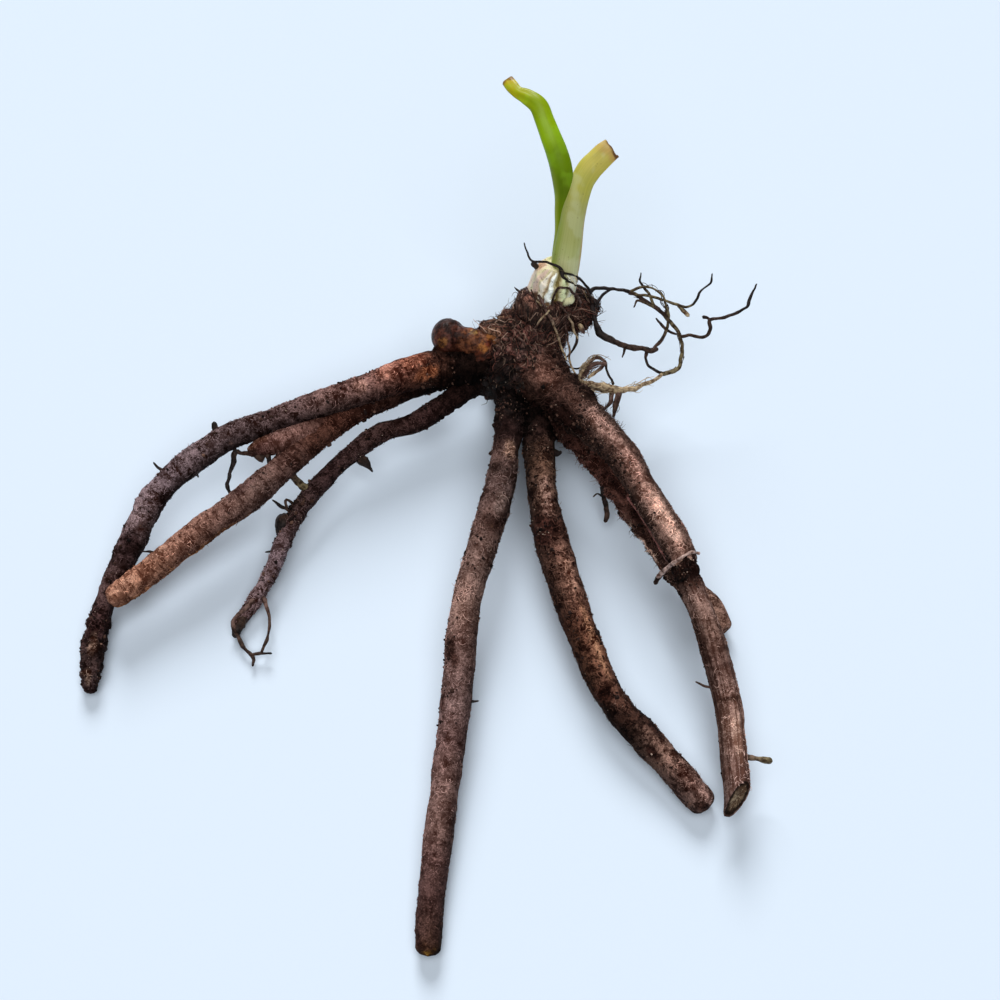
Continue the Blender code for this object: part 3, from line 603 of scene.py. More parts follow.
        "spots": [(50, 14, 9, 13, (158, 126, 110)), (30, 70, 5, 20, (26, 10, 8)), (40, 80, 3, 30, (24, 10, 8))],
        "felt": [(8, 58, 1900, 0.4)], "crusts": [(0, 50, 0.7)], "crumbs": [(6, 60, 60, 80, 700)],
    },
}
# How every root's skin is made: the step between its rings, its round tip, and its hollow or torn end
skinLook = {
    "step": 0.45, "tipDepth": 0.8, "tipPower": 2.4, "overhang": 0.6, "innerRows": 14, "cutDepth": 0.5, "tornDepth": 1.4,
    "slide": 24, "dim": 0.96,
}
cutHues = {"rim": (46, 31, 20), "core": (138, 112, 88)}


# How far a root's skin stands off its course: slow lumps, rings across and ridges along
def rootLift(root, course, far, turn, seed):
    bare = course.point(far, turn)
    skin = pipeSkin(turn, far)
    lift = root["lumps"] * layered(bare, 7.0, 3, seed)
    lift += root["rings"] * skinNoise(skin, (0.7, 0.7, 1 / root["ringGap"]), seed + 3)
    lift -= root["ridges"] * np.maximum(skinNoise(skin, (3.6, 3.6, 0.06), seed + 5), 0) * 1.6
    for low, high, height in root.get("crusts", []):
        share = smooth(low - 2, low + 2, far) * smooth(high + 3, high - 3, far)
        lift += height * share * (np.sqrt(np.abs(layered(bare, 2.2, 3, seed + 12))) - 0.45) * 1.8
    return lift + 0.06 * layered(bare, 0.9, 2, seed + 9)


# The hue of a root's skin: the tones along it, with painted shade on the sides given, and ragged spots
def rootHue(root, course, far, turn, seed):
    bare = course.point(far, turn)
    rag = layered(bare, 1.5, 3, seed)
    distances = [where for where, *_ in root["hues"]]
    tones = np.array([shade(tint) for _, *tint in root["hues"]])
    hue = np.stack([np.interp(far + 1.5 * rag, distances, channel) for channel in tones.T], axis=-1)
    # painted shade: each listed side is darkened as if turned away from the light
    for angle, strength in root["paintedShadeSides"]:
        hue *= (1 - strength * smooth(-0.1, 1.0, np.cos(turn - math.radians(angle)) + 0.15 * rag))[..., None]
    for where, angle, length, spread, tint in root["spots"]:
        near = np.exp(-((far - where) / length) ** 2 - (degreesApart(turn, angle) / spread) ** 2)
        share = smooth(0.2, 0.75, near + 0.22 * rag)[..., None] * 0.9
        hue = mixed(hue, shade(tint), share)
    return hue * exposure


# A root's skin: circles carried along its course. The radius closes over a sound end as a flattened quarter circle;
# a cut or torn end stops at its rim, and rows run inward from there
def rootShape(root, seed):
    course = Course(root["course"])
    start, reach = root.get("from", 0.0), root.get("until", course.length + skinLook["overhang"] * course.lastRadius)
    rows, columns = int((reach - start) / skinLook["step"]), root["columns"]
    far, turn = turnGrid(start, reach, rows, columns)
    tipped = np.clip((far - reach) / (skinLook["tipDepth"] * course.lastRadius) + 1, 0, 1)
    closing = np.clip(1 - tipped ** skinLook["tipPower"], 0.0004, 1) ** 0.5
    inner = 0
    if "cut" in root or "lip" in root:
        inner, sunk = skinLook["innerRows"], skinLook["cutDepth" if "cut" in root else "tornDepth"]
        if "cut" in root:
            spot, facing = (np.array(value) for value in root["cut"])
            beyond = (course.point(far, turn) - spot) @ unit(facing)
            last, column = np.argmax(beyond > 0, axis=0), np.arange(columns)
            share = beyond[last - 1, column] / (beyond[last - 1, column] - beyond[last, column])
            rim = far[last - 1, column] + share * skinLook["step"]
        else:
            rim = reach + root["lip"] * layered(pipeSkin(turn[0], 0 * turn[0]), 0.6, 3, seed)
        bend = reach - skinLook["slide"]
        far = np.where(far > bend, bend + (far - bend) * (rim - bend) / (reach - bend), far)
        inward = np.linspace(0.94, 0.02, inner)[:, None]
        far = np.vstack([far, rim.mean() + (rim - rim.mean()) * inward - sunk * (1 - inward)])
        turn = np.vstack([turn, np.repeat(turn[:1], inner, axis=0)])
        closing = np.vstack([np.ones((rows, columns)), np.repeat(inward, columns, axis=1)])
    points = course.point(far, turn, closing, rootLift(root, course, far, turn, seed) * closing)
    points[..., 2] = np.maximum(points[..., 2], lowest)
    hue = rootHue(root, course, far, turn, seed) * skinLook["dim"]  # darker than the hairs that lie on it
    if "cut" in root:
        rag = 0.12 * layered(points[-inner + 1:], 1.2, 2, seed)
        core = smooth(0.75, 0.5, (inward[1:] + rag)[..., None])
        hue[-inner + 1:] = mixed(shade(cutHues["rim"]), shade(cutHues["core"]), core)
    return tubeShape(points, {"skin": pipeSkin(turn, far), "hue": hue})


# Of many random places, the ones where noise with a little chance is highest, so that hairs and crumbs crowd
def crowded(course, draw, far, turn, cell, layers, seed, chance, count):
    crowd = layered(course.point(far, turn), cell, layers, seed) + draw.normal(0, chance, len(far))
    keep = np.argsort(-crowd)[:count]
    return far[keep], turn[keep]


feltLook = {"tries": 3, "patch": 4.0, "chance": 0.35, "bend": 1.1, "length": 0.22, "thickness": (0.05, 0.1)}


# Felt: short curved hairs that lie on a root's skin, thick in some patches and thin in others. Each starts at a random
# place and heading, bends, and lifts off a little towards its tip
def rootFelt(root, seed):
    course = Course(root["course"])
    draw = np.random.default_rng(seed)
    parts = []
    for low, high, count, loose in root["felt"]:
        tries = feltLook["tries"] * count
        far, turn = draw.uniform(low, min(high, course.length - 2), tries), draw.uniform(0, tau, tries)
        far, turn = crowded(course, draw, far, turn, feltLook["patch"], 3, seed + 1, feltLook["chance"], count)
        parts.append(np.stack([far, turn, np.full(count, loose)], axis=-1))
    far, turn, loose = (value[:, None] for value in np.vstack(parts).T)
    count = len(far)
    heading, bend = draw.uniform(0, tau, (count, 1)), draw.normal(0, feltLook["bend"], (count, 1))
    length = draw.gamma(4.0, feltLook["length"], (count, 1)) * (1 + 0.8 * loose)
    step = np.linspace(0, 1, 4)[None, :]
    angle = heading + bend * step
    radius = course.read(far)[1]
    along = far + length * step * np.cos(angle)
    around = turn + length * step * np.sin(angle) / radius
    loose = draw.exponential(1, (count, 1)) * loose * step**1.5
    lift = rootLift(root, course, along, around, root["seed"]) + 0.05 + loose
    hue = rootHue(root, course, far, turn, root["seed"])[:, 0]
    tint = np.clip(draw.normal(0.8, 0.35, count), 0, 1.3)
    return strandShape(course.point(along, around, 1.0, lift), draw.uniform(*feltLook["thickness"], count), hue, tint)


# Crumbs come in kinds: how often each comes, how large it is and its colour
crumbLook = {
    "tries": 4, "patch": 3.0, "chance": 0.3, "share": (0.42, 0.22, 0.16, 0.2), "size": (0.9, 0.9, 0.9, 0.35),
    "hues": [(20, 11, 9), (38, 23, 18), (66, 46, 38), (122, 102, 90)],
}


# Soil crumbs: short fat lumps bedded in a root's skin, crowded where the soil clings
def rootCrumbs(root, seed):
    course = Course(root["course"])
    draw = np.random.default_rng(seed)
    parts = []
    for low, high, angle, spread, count in root["crumbs"]:
        tries = crumbLook["tries"] * count
        far = draw.uniform(low, min(high, course.length - 1), tries)
        turn = np.radians(draw.normal(angle, spread, tries))
        far, turn = crowded(course, draw, far, turn, crumbLook["patch"], 2, seed + 1, crumbLook["chance"], count)
        parts.append(np.stack([far, turn], axis=-1))
    far, turn = np.vstack(parts).T
    centres = course.point(far, turn, 1.0, rootLift(root, course, far, turn, root["seed"]) + 0.05)
    return crumbShape(centres, draw)


# A crumb: a closed lump of five square rings on a short axis that points anywhere
def crumbShape(centres, draw):
    count = len(centres)
    kind = draw.choice(4, count, p=crumbLook["share"])
    size = (0.1 + draw.gamma(2.0, 0.075, count)) * np.array(crumbLook["size"])[kind]
    axis = unit(draw.normal(size=(count, 3))) * (size * draw.uniform(0.6, 1.3, count))[:, None]
    paths = centres[:, None] + axis[:, None] * np.array([-1.0, -0.6, 0.0, 0.6, 1.0])[None, :, None]
    paths = paths + draw.normal(0, 0.12, paths.shape) * size[:, None, None]
    hue = np.array([shade(tint) for tint in crumbLook["hues"]])[kind] * exposure
    return strandShape(paths, size, hue, np.clip(draw.normal(0.35, 0.2, count), 0, 1), 4, (0.3, 0.85, 1.0, 0.85, 0.3))


pieces = {}
for number, (name, root) in enumerate(storageRoots.items()):
    root.update({**usualRoot, **root, "seed": 100 + 20 * number})
    pieces[name] = makePiece(name, rootShape(root, root["seed"]), barks[root["bark"]], "root_bark")
    felt = name.replace("Root", "Felt")
    pieces[felt] = makePiece(felt, rootFelt(root, 500 + number), feltPaint, "root_bark")
crumbs = [rootCrumbs(root, 600 + root["seed"]) for root in storageRoots.values() if "crumbs" in root]
pieces["rootCrumbs"] = makePiece("rootCrumbs", joined(crumbs), strandMaterial("soilCrumb", 0.9, 0.8), "root_bark")
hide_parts("rhizome")
print("storage roots grown")

# The crown: lumps round one heart. Its skin lies as far from the heart as the furthest lump, with blurred joints
crownLook = {
    "heart": (26.0, 50.5, 16.0),
    "lumps": [
        ((24.2, 46.6, 12.0), (11.4, 10.2, 12.2)), ((26.0, 53.0, 17.5), (8.8, 7.4, 8.4)),
        ((28.6, 57.8, 21.3), (6.6, 5.4, 6.2)), ((19.0, 52.2, 18.0), (6.2, 4.2, 5.6)),
        ((26.8, 57.4, 26.0), (4.3, 3.6, 4.3)), ((31.3, 54.6, 24.8), (5.2, 4.0, 5.0)),
    ],
    "blur": 0.6, "coarse": 1.0, "clods": 1.9, "fine": 0.5, "hue": (56, 36, 31),
    # The near-black daubs low on the crown's front and underside are part black soil and part painted shade
    "daubs": [
        ((18.5, 53, 22), 5.0, (86, 60, 45)), ((26.0, 57.6, 28.6), 3.4, (54, 35, 28)),
        ((29, 55, 27), 6.0, (80, 56, 46)), ((24, 47, 24), 5.0, (78, 52, 46)), ((21, 45, 20), 3.0, (54, 34, 29)),
        ((31, 46, 23), 3.4, (78, 52, 46)), ((28, 51, 25), 3.0, (44, 26, 22)), ((33, 49, 20), 5.0, (84, 58, 46)),
        ((27, 40, 21), 5.0, (50, 31, 27)), ((14, 44, 15), 7.5, (13, 6, 5)), ((20.5, 41, 19), 4.4, (24, 12, 10)),
        ((22, 37, 14), 7.5, (14, 7, 6)), ((27, 36, 13), 4.2, (16, 8, 7)), ((33, 43, 18), 5.0, (74, 50, 42)),
        ((24, 42, 5), 10.0, (22, 12, 9)),
    ],
    "grid": (170, 230), "fibres": 1500, "seed": 11,
}
fibreHues = [(128, 100, 86), (92, 54, 46), (28, 15, 12), (62, 38, 31), (40, 24, 20)]


def fibreColours(draw, count):
    kinds = np.array([shade(tint) for tint in fibreHues])
    return kinds[draw.integers(0, len(fibreHues), count)] * exposure * 0.7


# The ways ahead and across for fibres that start outwards, and the directions along each
def fibreWays(draw, outward):
    ahead = unit(np.cross(outward, draw.normal(size=outward.shape)))
    return ahead, np.cross(outward, ahead)


def strayed(outward, ahead, across, along, aside):
    return unit(outward[:, None] + ahead[:, None] * along[..., None] + across[:, None] * aside[..., None])


def crownReach(direction):
    heart = np.array(crownLook["heart"])
    reaches = []
    for centre, radii in crownLook["lumps"]:
        ray, start = direction / radii, (heart - centre) / np.array(radii)
        a, b, c = (ray**2).sum(-1), (ray * start).sum(-1), (start**2).sum() - 1
        inside = np.maximum(b * b - a * c, 0)
        reaches.append(np.where(b * b > a * c, (np.sqrt(inside) - b) / a, 0))
    return crownLook["blur"] * np.log(sum(np.exp(reach / crownLook["blur"]) for reach in reaches))


# Folded noise makes rounded clods with creases between them; the creases are painted dark as shade
def clods(bare):
    return np.sqrt(np.abs(layered(bare, 2.9, 3, 6)))


def crownPoint(direction, lift=0.0):
    bare = np.array(crownLook["heart"]) + direction * crownReach(direction)[..., None]
    rise = crownLook["coarse"] * layered(bare, 4.5, 2, 5) + crownLook["fine"] * layered(bare, 0.9, 2, 8)
    rise += crownLook["clods"] * (clods(bare) - 0.55)
    point = bare + direction * (rise + lift)[..., None]
    point[..., 2] = np.maximum(point[..., 2], 1.5 * lowest)
    return point


def crownHue(direction):
    bare = np.array(crownLook["heart"]) + direction * crownReach(direction)[..., None]
    hue = daubed(bare, painted(crownLook["hue"], bare), crownLook["daubs"], 51)
    warm = smooth(-0.1, 0.5, layered(bare, 3.5, 2, 53))[..., None] * np.array([0.35, 0.12, 0.1]) + 0.95
    # painted shade: the creases between the clods are darkened, down to a tenth
    return hue * warm * (0.1 + 1.15 * smooth(0.2, 0.85, clods(bare)))[..., None] * exposure


def crownShape():
    direction = ballGrid(*crownLook["grid"], 0.004)
    return tubeShape(crownPoint(direction), {"hue": crownHue(direction)})


def soilMaterial(name):
    recipe = Recipe(name, Specular_IOR_Level=0.3)
    level = recipe.patches(1.5, 4.0, 0.65, 0.38, 0.64) * 0.45
    level += recipe.patches(0.5, 2.0, 0.55, 0.52, 0.6, 1.5) * 0.45
    base = toned(recipe, level, 1.0)
    crumb = recipe.patches(0.45, 1.0, 0.5, 0.735, 0.76)
    base = recipe.blend(crumb * 0.8, base, colour(190, 176, 160))
    return recipe.finish(base, 0.7, recipe.noise(0.35, 3.0, 0.6), 0.35, 1.0)


# Fibres on the crown: each path leaves a random direction, drifts sideways over the skin with a bend and a wave,
# and lifts off it towards the tip
def crownFibres(look):
    draw = np.random.default_rng(look["seed"])
    count = look["fibres"]
    upright, turn = draw.uniform(-0.3, 1.0, count), draw.uniform(0, tau, count)
    level = np.sqrt(1 - upright**2)
    outward = np.stack([level * np.cos(turn), level * np.sin(turn), upright], axis=-1)
    ahead, across = fibreWays(draw, outward)
    step = np.linspace(0, 1, 8)[None, :]
    length = draw.gamma(3.0, 1.0, count)[:, None] / 12
    curl, wave, phase = (draw.normal(0, spread, count)[:, None] for spread in (0.6, 0.12, 2.0))
    bend = length * (curl * step**2 + wave * np.sin(phase + 7 * step))
    direction = strayed(outward, ahead, across, length * step, bend)
    loose = draw.exponential(0.35, count)[:, None]
    paths = crownPoint(direction, 0.1 + loose * (0.4 + 1.3 * step**2) + 0.12 * np.sin(phase + 5 * step))
    hue = fibreColours(draw, count)
    # Fibres lying over those near-black daubs are darkened as well, part soil and part painted shade
    soilAndShadeShare = smooth(0.03, 0.008, daubed(paths[:, 0], np.full((count, 3), 0.05), crownLook["daubs"], 51)[:, :1])
    hue *= 1 - 0.85 * soilAndShadeShare
    return strandShape(paths, draw.uniform(0.06, 0.15, count), hue, np.clip(draw.normal(0.4, 0.25, count), 0, 1))


soilPaint = soilMaterial("crownSoil")
fibrePaint = strandMaterial("crownFibre", 0.9)
pieces["crown"] = makePiece("crown", crownShape(), soilPaint, "root_bark")
pieces["crownFibres"] = makePiece("crownFibres", crownFibres(crownLook), fibrePaint, "root_bark")
print("crown grown")

# The knob: an old amber joint of the rhizome with a round end, pinched behind it
knobLook = {
    "course": [
        (20.5, 50.2, 16.5, 5.0), (17.6, 49.6, 17.2, 5.0), (14.9, 49.3, 18.0, 4.7), (12.4, 49.8, 18.9, 4.1),
        (10.2, 50.4, 19.7, 3.4), (8.8, 50.8, 20.0, 3.3), (7.2, 51.3, 20.0, 4.1), (5.4, 51.8, 20.0, 4.5),
    ],
    "grid": (130, 80), "cap": 4.1, "lumps": 0.5, "hue": (84, 42, 31),
    "daubs": [
        ((4.2, 48.6, 22.2), 1.5, (142, 88, 46)), ((2.4, 49.6, 21.8), 1.2, (118, 58, 38)),
        ((5.0, 53.4, 23.6), 2.4, (56, 28, 21)), ((8.9, 50.0, 22.8), 1.7, (52, 24, 17)),
        ((12.4, 49.6, 21.4), 4.4, (122, 68, 42)), ((12.2, 51.4, 23.2), 1.0, (190, 136, 64)),
        ((14.6, 47.6, 21.6), 1.7, (168, 98, 46)), ((16.6, 49.4, 22.4), 1.4, (156, 92, 46)),
        ((15.8, 48.2, 22.4), 0.9, (110, 44, 22)), ((13.4, 46.4, 20.4), 1.5, (90, 40, 22)),
        ((5.5, 49.0, 15.5), 3.4, (40, 18, 12)), ((10.6, 48.4, 20.6), 1.2, (62, 26, 18)),
    ],
}


# The knob's skin: circles along its course, raised by lumps and closed by a quarter circle
def knobShape(look):
    course = Course(look["course"])
    reach = course.length + look["cap"]
    far, turn = turnGrid(0, reach, *look["grid"])
    closing = roundEnd(far, reach, look["cap"], 0.0005)
    bare = course.point(far, turn)
    lumps = look["lumps"] * layered(bare, 3.0, 3, 61) * smooth(19, 12, far)
    lift = lumps + 0.07 * layered(bare, 0.8, 2, 64)
    points = course.point(far, turn, closing, lift * closing)
    base = painted(look["hue"], points)
    return tubeShape(points, {"hue": daubed(points, base, look["daubs"], 66) * 0.5})


def knobMaterial():
    recipe = Recipe("amberSkin", Specular_IOR_Level=0.14)
    level = recipe.patches(1.6, 4.0, 0.65, 0.36, 0.66) * 0.75
    pit = recipe.patches(0.7, 3.0, 0.6, 0.56, 0.66)
    base = toned(recipe, level - pit * 0.25, 0.8)
    return recipe.finish(base, 0.38, recipe.noise(0.5, 3.0, 0.6) - pit * 0.5, 0.22, 0.7)


pieces["knob"] = makePiece("knob", knobShape(knobLook), knobMaterial(), "root_bark")
print("knob grown")

# Rootlets, spurs and scars on the storage roots: (colour at the foot, colour at the tip, stations)
ink, umber, bark, olive, tan = (30, 22, 20), (54, 36, 28), (84, 60, 52), (94, 78, 54), (148, 122, 94)
twig, rose = (158, 126, 114), (136, 84, 76)
rootlets = [
    (umber, ink, [(-40, 20, 14.2, 1.2), (-41.5, 20.6, 14.5, 1), (-43.5, 21.1, 15, 0.75), (-45.6, 21.4, 14.5, 0.6),
        (-47.1, 21.7, 14.5, 0.75), (-47.7, 18.9, 14, 0.55), (-48.5, 15, 13.5, 0.46), (-49, 13, 13, 0.5),
        (-48, 10.8, 12.3, 0.55)]),
    (ink, ink, [(-46.9, 21.2, 14.5, 0.6), (-47.9, 23.8, 15.4, 0.5)]),
    (umber, ink, [(-39.5, 22, 15, 0.7), (-38.5, 17.5, 13.8, 0.45)]),
    (umber, olive, [(-35, 17.8, 13, 1.1), (-31.5, 15.2, 10, 0.95), (-28.5, 13.2, 7.6, 1.1)]),
    (umber, ink, [(-51.9, 25.4, 17.2, 1), (-52.3, 27.6, 18.2, 0.7)]),
    (umber, ink, [(-62, 16, 13.5, 0.6), (-66, 17.4, 14, 0.4), (-67.4, 18.8, 14.4, 0.2)]),
    (umber, ink, [(-58, 20, 13.5, 0.6), (-56.6, 16.2, 11.5, 0.25)]),
    (umber, ink, [(-63, -6, 11, 0.5), (-67, -3.5, 10, 0.35), (-70.5, -3, 9.5, 0.25)]),
    (umber, ink, [(-17.5, 25, 8, 1.2), (-15.5, 22.5, 7, 1.1), (-13.6, 20.4, 6, 0.25)]),
    (umber, ink, [(-33, 7.2, 6.5, 1.8), (-35, 5.8, 6.5, 1.9), (-35.9, 4, 6.2, 1.5)]),
    (umber, ink, [(-31, 8.5, 7, 0.7), (-34.5, 9, 8, 0.5), (-38, 11, 9, 0.25)]),
    (umber, ink, [(-34.5, 9, 8, 0.4), (-34.6, 11.2, 9, 0.35), (-31.3, 9.5, 7.5, 0.4)]),
    (umber, ink, [(-34.5, -1, 5.8, 0.6), (-39.5, -1.6, 5.5, 0.2)]),
    (bark, umber, [(-41, -12.5, 3.5, 0.8), (-43.2, -15.8, 4.4, 0.6), (-46.6, -19.5, 3.6, 0.6), (-44.6, -24.5, 2, 0.5),
        (-41.5, -27.8, 1.8, 0.5), (-41.5, -30, 1.6, 0.3)]),
    (bark, umber, [(-40.4, -11.5, 4, 0.7), (-38, -17.5, 4, 0.45), (-37.8, -22, 3.5, 0.4), (-39.4, -26.8, 2.6, 0.35)]),
    (umber, ink, [(-44.2, -17.8, 3.2, 1.2), (-45.4, -20.2, 2.4, 1.3), (-46, -21.8, 1.9, 1.2)]),
    (umber, ink, [(-42.2, -27.4, 1.9, 0.45), (-39.5, -27, 2.4, 0.4), (-37, -27.2, 2.6, 0.25)]),
    (umber, umber, [(19, 21.5, 15, 1.2), (16.4, 21, 15, 0.6)]),
    (umber, ink, [(9, -42, 9, 0.8), (13.6, -41.6, 9.2, 0.2)]),
    (umber, ink, [(29, 22, 11.5, 1.4), (33.6, 23.6, 10.4, 0.8)]),
    (bark, olive, [(73.5, -55.5, 10.2, 1), (78, -56, 10.4, 0.7), (81.4, -56.7, 10.6, 0.8)]),
    (bark, umber, [(72, -38.3, 12, 0.5), (68.3, -39, 11.5, 0.3), (65, -37.8, 12, 0.2)]),
    (twig, twig, [(66.4, -8, 19.6, 0.35), (64.6, -8.4, 21.4, 0.42), (62.6, -9.6, 21.5, 0.42), (60.6, -10.4, 20, 0.42),
        (59.2, -10.4, 17, 0.45), (57.9, -10.6, 13.6, 0.5), (57.2, -10.6, 11.2, 0.6)]),
    (ink, umber, [(58.8, -9.2, 12, 0.5), (57.4, -10.4, 10.5, 0.75), (56.7, -11.4, 9.6, 0.7)]),
    (rose, rose, [(49.8, 8.6, 16.5, 0.2), (52.8, 3.5, 16.4, 0.26), (54.9, -0.3, 16.4, 0.3), (56.9, -3.6, 15.6, 0.34),
        (59, -7.4, 15, 0.4), (60.4, -8.8, 14.5, 0.4)]),
    (ink, umber, [(44.6, 14.6, 9, 1), (44.8, 12.5, 7, 0.7), (45.4, 10.9, 5.5, 0.62), (45.7, 9.5, 4.5, 0.7),
        (45.2, 7.8, 3.5, 0.5)]),
    (ink, umber, [(44.8, 12.5, 7, 0.3), (43.3, 13.9, 6.5, 0.2), (42.1, 13.3, 6, 0.16)]),
]
# Wiry feeding roots
wiryRoots = [
    (ink, ink, [(40.8, 59.6, 26, 0.7), (42.9, 62, 26.2, 0.48), (46.4, 62.2, 25.8, 0.42), (49.5, 62.2, 25.1, 0.42),
        (51.5, 62, 24.5, 0.5)]),
    (umber, olive, [(51.5, 62, 24.5, 0.55), (58, 58.5, 23, 0.55), (61, 55.8, 22, 0.5), (64.5, 52, 20, 0.5),
        (64.5, 46, 16.5, 0.45), (63, 44.3, 15.5, 0.5), (60, 43.5, 15, 0.55)]),
    (tan, tan, [(35.6, 42.6, 16.4, 0.6), (38.4, 40.7, 17, 0.7), (41.4, 39.6, 17, 0.8), (44.4, 39, 16.5, 0.95),
        (47.7, 38.5, 16, 0.9), (51, 38.7, 15.7, 0.65), (56, 40.6, 15.2, 0.5), (60, 43.5, 15, 0.48)]),
    (bark, tan, [(37.6, 40.6, 16.2, 0.5), (39.9, 39.5, 16, 0.5), (42.9, 38.7, 16, 0.5), (46, 38.2, 15.8, 0.6),
        (48.5, 38.1, 15.5, 0.5)]),
    (tan, bark, [(38.4, 40.8, 16.8, 0.5), (39.9, 43.7, 17.8, 0.45), (41.5, 45.5, 18.3, 0.42), (43.2, 46.4, 18.5, 0.5),
        (45.2, 45.6, 18, 0.45)]),
    (bark, bark, [(38.6, 40.9, 16.8, 0.5), (39.9, 41.9, 17, 0.5), (41.2, 43.6, 17.5, 0.6), (43, 44.5, 18, 0.55),
        (45, 45.1, 18, 0.4)]),
    (tan, bark, [(40.9, 41.4, 16.8, 0.4), (43, 43.1, 17.4, 0.5), (44.5, 44.2, 18, 0.5), (45.5, 45.1, 18, 0.4)]),
    (umber, ink, [(45.2, 45.6, 18, 0.4), (45.9, 43.6, 17, 0.36), (47.3, 40.1, 16, 0.34)]),
    (bark, umber, [(47, 38.2, 15.4, 0.75), (46.4, 35.6, 14.8, 0.5), (44.9, 33.6, 14.2, 0.25)]),
    (bark, umber, [(48.8, 38.4, 15.4, 0.8), (48.2, 35.6, 14.8, 0.7), (47.7, 33.5, 14.5, 0.55),
        (47.2, 31.8, 14, 0.3)]),
    (ink, ink, [(42.8, 57.9, 24, 0.6), (43.5, 59.2, 24.8, 0.45), (45, 60.9, 25.3, 0.36), (46.7, 62.1, 25.7, 0.38)]),
    (ink, ink, [(24.7, 67.9, 38, 0.16), (25.4, 65.2, 38, 0.23), (26.8, 62.9, 37.8, 0.28), (30.3, 62.5, 37.8, 0.3),
        (32.5, 61.8, 37.6, 0.35), (34, 60.3, 36.8, 0.39), (35.5, 60, 35.8, 0.31), (37.5, 60.7, 34, 0.31),
        (39.2, 61.1, 31, 0.33), (40.8, 60.6, 28, 0.35), (41.9, 59.2, 25, 0.43), (42.2, 57.5, 23, 0.47)]),
    (ink, umber, [(33, 61.6, 37.4, 0.27), (33.9, 60.4, 37, 0.58), (34.3, 59.2, 36.4, 0.47), (35.2, 58.7, 35.8, 0.33),
        (37.1, 59.2, 33, 0.33), (39.7, 59.7, 30, 0.33), (41.3, 59.2, 27, 0.39), (42.4, 58.9, 24, 0.47)]),
    (umber, bark, [(31.6, 54.4, 29.2, 0.3), (31.9, 54.9, 31.6, 0.3), (32.4, 56, 33.6, 0.3), (33.2, 56.8, 34.6, 0.32),
        (34.4, 57.1, 34.8, 0.32), (35.9, 57, 34.2, 0.3), (37.2, 56.5, 32.6, 0.3), (38.4, 56.6, 29.4, 0.3),
        (39, 57.2, 25.4, 0.3)]),
    (olive, ink, [(58, 58.5, 23, 0.4), (57.1, 59.9, 24, 0.4), (56.2, 61.4, 25, 0.35), (54.4, 63.9, 26, 0.32),
        (54.4, 66.1, 27, 0.2)]),
    (olive, ink, [(51.5, 62, 24.5, 0.4), (58, 60.2, 25, 0.35), (64.5, 56.5, 26, 0.36), (67, 56.8, 27, 0.32),
        (69.3, 60, 28.3, 0.3), (71.7, 62, 29, 0.28), (72, 64, 30, 0.18)]),
    (olive, olive, [(51.5, 62, 24.5, 0.35), (55.5, 62.6, 26.6, 0.3), (59.5, 60, 26.2, 0.3), (61, 55.8, 22, 0.35)]),
    (umber, ink, [(64.5, 51.6, 20, 0.42), (67.3, 51.5, 20.5, 0.4), (70.4, 50.7, 21.5, 0.42), (71.6, 52.3, 22.5, 0.48),
        (71.9, 54.4, 23.5, 0.48), (76.4, 54.9, 24.5, 0.42), (80.5, 56.7, 25.5, 0.42), (81.8, 59.7, 26, 0.4),
        (83.5, 62.8, 27, 0.2)]),
    (umber, ink, [(71.9, 54.4, 23.5, 0.4), (70.9, 54.7, 24, 0.35), (70, 54.8, 24.3, 0.48)]),
    (ink, umber, [(41.9, 58.2, 24.4, 0.6), (42.3, 55.6, 23.4, 0.6), (42.9, 53.4, 22.6, 0.75), (44.2, 51.4, 21.6, 0.9),
        (47, 50.2, 20.6, 0.8), (50.3, 49, 19.8, 0.75), (54.2, 48.8, 19, 0.75), (57.2, 48.5, 18.5, 0.7),
        (58.5, 49.1, 18, 0.5)]),
    (umber, ink, [(56, 49.4, 18.4, 0.55), (55.6, 47.6, 16.5, 0.42), (56.3, 46.2, 15.5, 0.4), (57.9, 45, 15, 0.4),
        (60.4, 43.6, 15, 0.4)]),
    (ink, ink, [(54.5, 48.9, 18.9, 0.5), (56.6, 48.3, 19.6, 0.2)]),
    (umber, olive, [(57.5, 48.7, 18.3, 0.5), (59.6, 51.5, 18.4, 0.45), (61.5, 54.8, 20, 0.4), (61, 57.6, 24, 0.3)]),
    (umber, ink, [(61, 54, 19, 0.45), (58.5, 57.2, 19.5, 0.25)]),
    (ink, umber, [(61, 54, 19, 0.4), (63.5, 53.2, 18.4, 0.3)]),
    (olive, tan, [(63.6, 57.2, 25.8, 0.4), (65.9, 54.7, 25.4, 0.6)]),
    (olive, umber, [(58, 58.5, 23, 0.4), (53.8, 59.2, 24.4, 0.3), (52.5, 57.5, 24.5, 0.2)]),
    (ink, umber, [(50.6, 49.6, 19.6, 0.5), (49.6, 46.4, 18.5, 0.2)]),
    (ink, ink, [(34.5, 47, 15, 0.23), (36.6, 46.1, 14, 0.23), (39.1, 46.1, 13.5, 0.23), (41.7, 47.3, 14, 0.2),
        (42.4, 48.8, 15, 0.13)]),
    (umber, ink, [(38.2, 53.2, 20, 0.4), (38.2, 50.8, 18.5, 0.4), (37, 49.2, 17, 0.3), (35.6, 48.3, 15, 0.2)]),
]
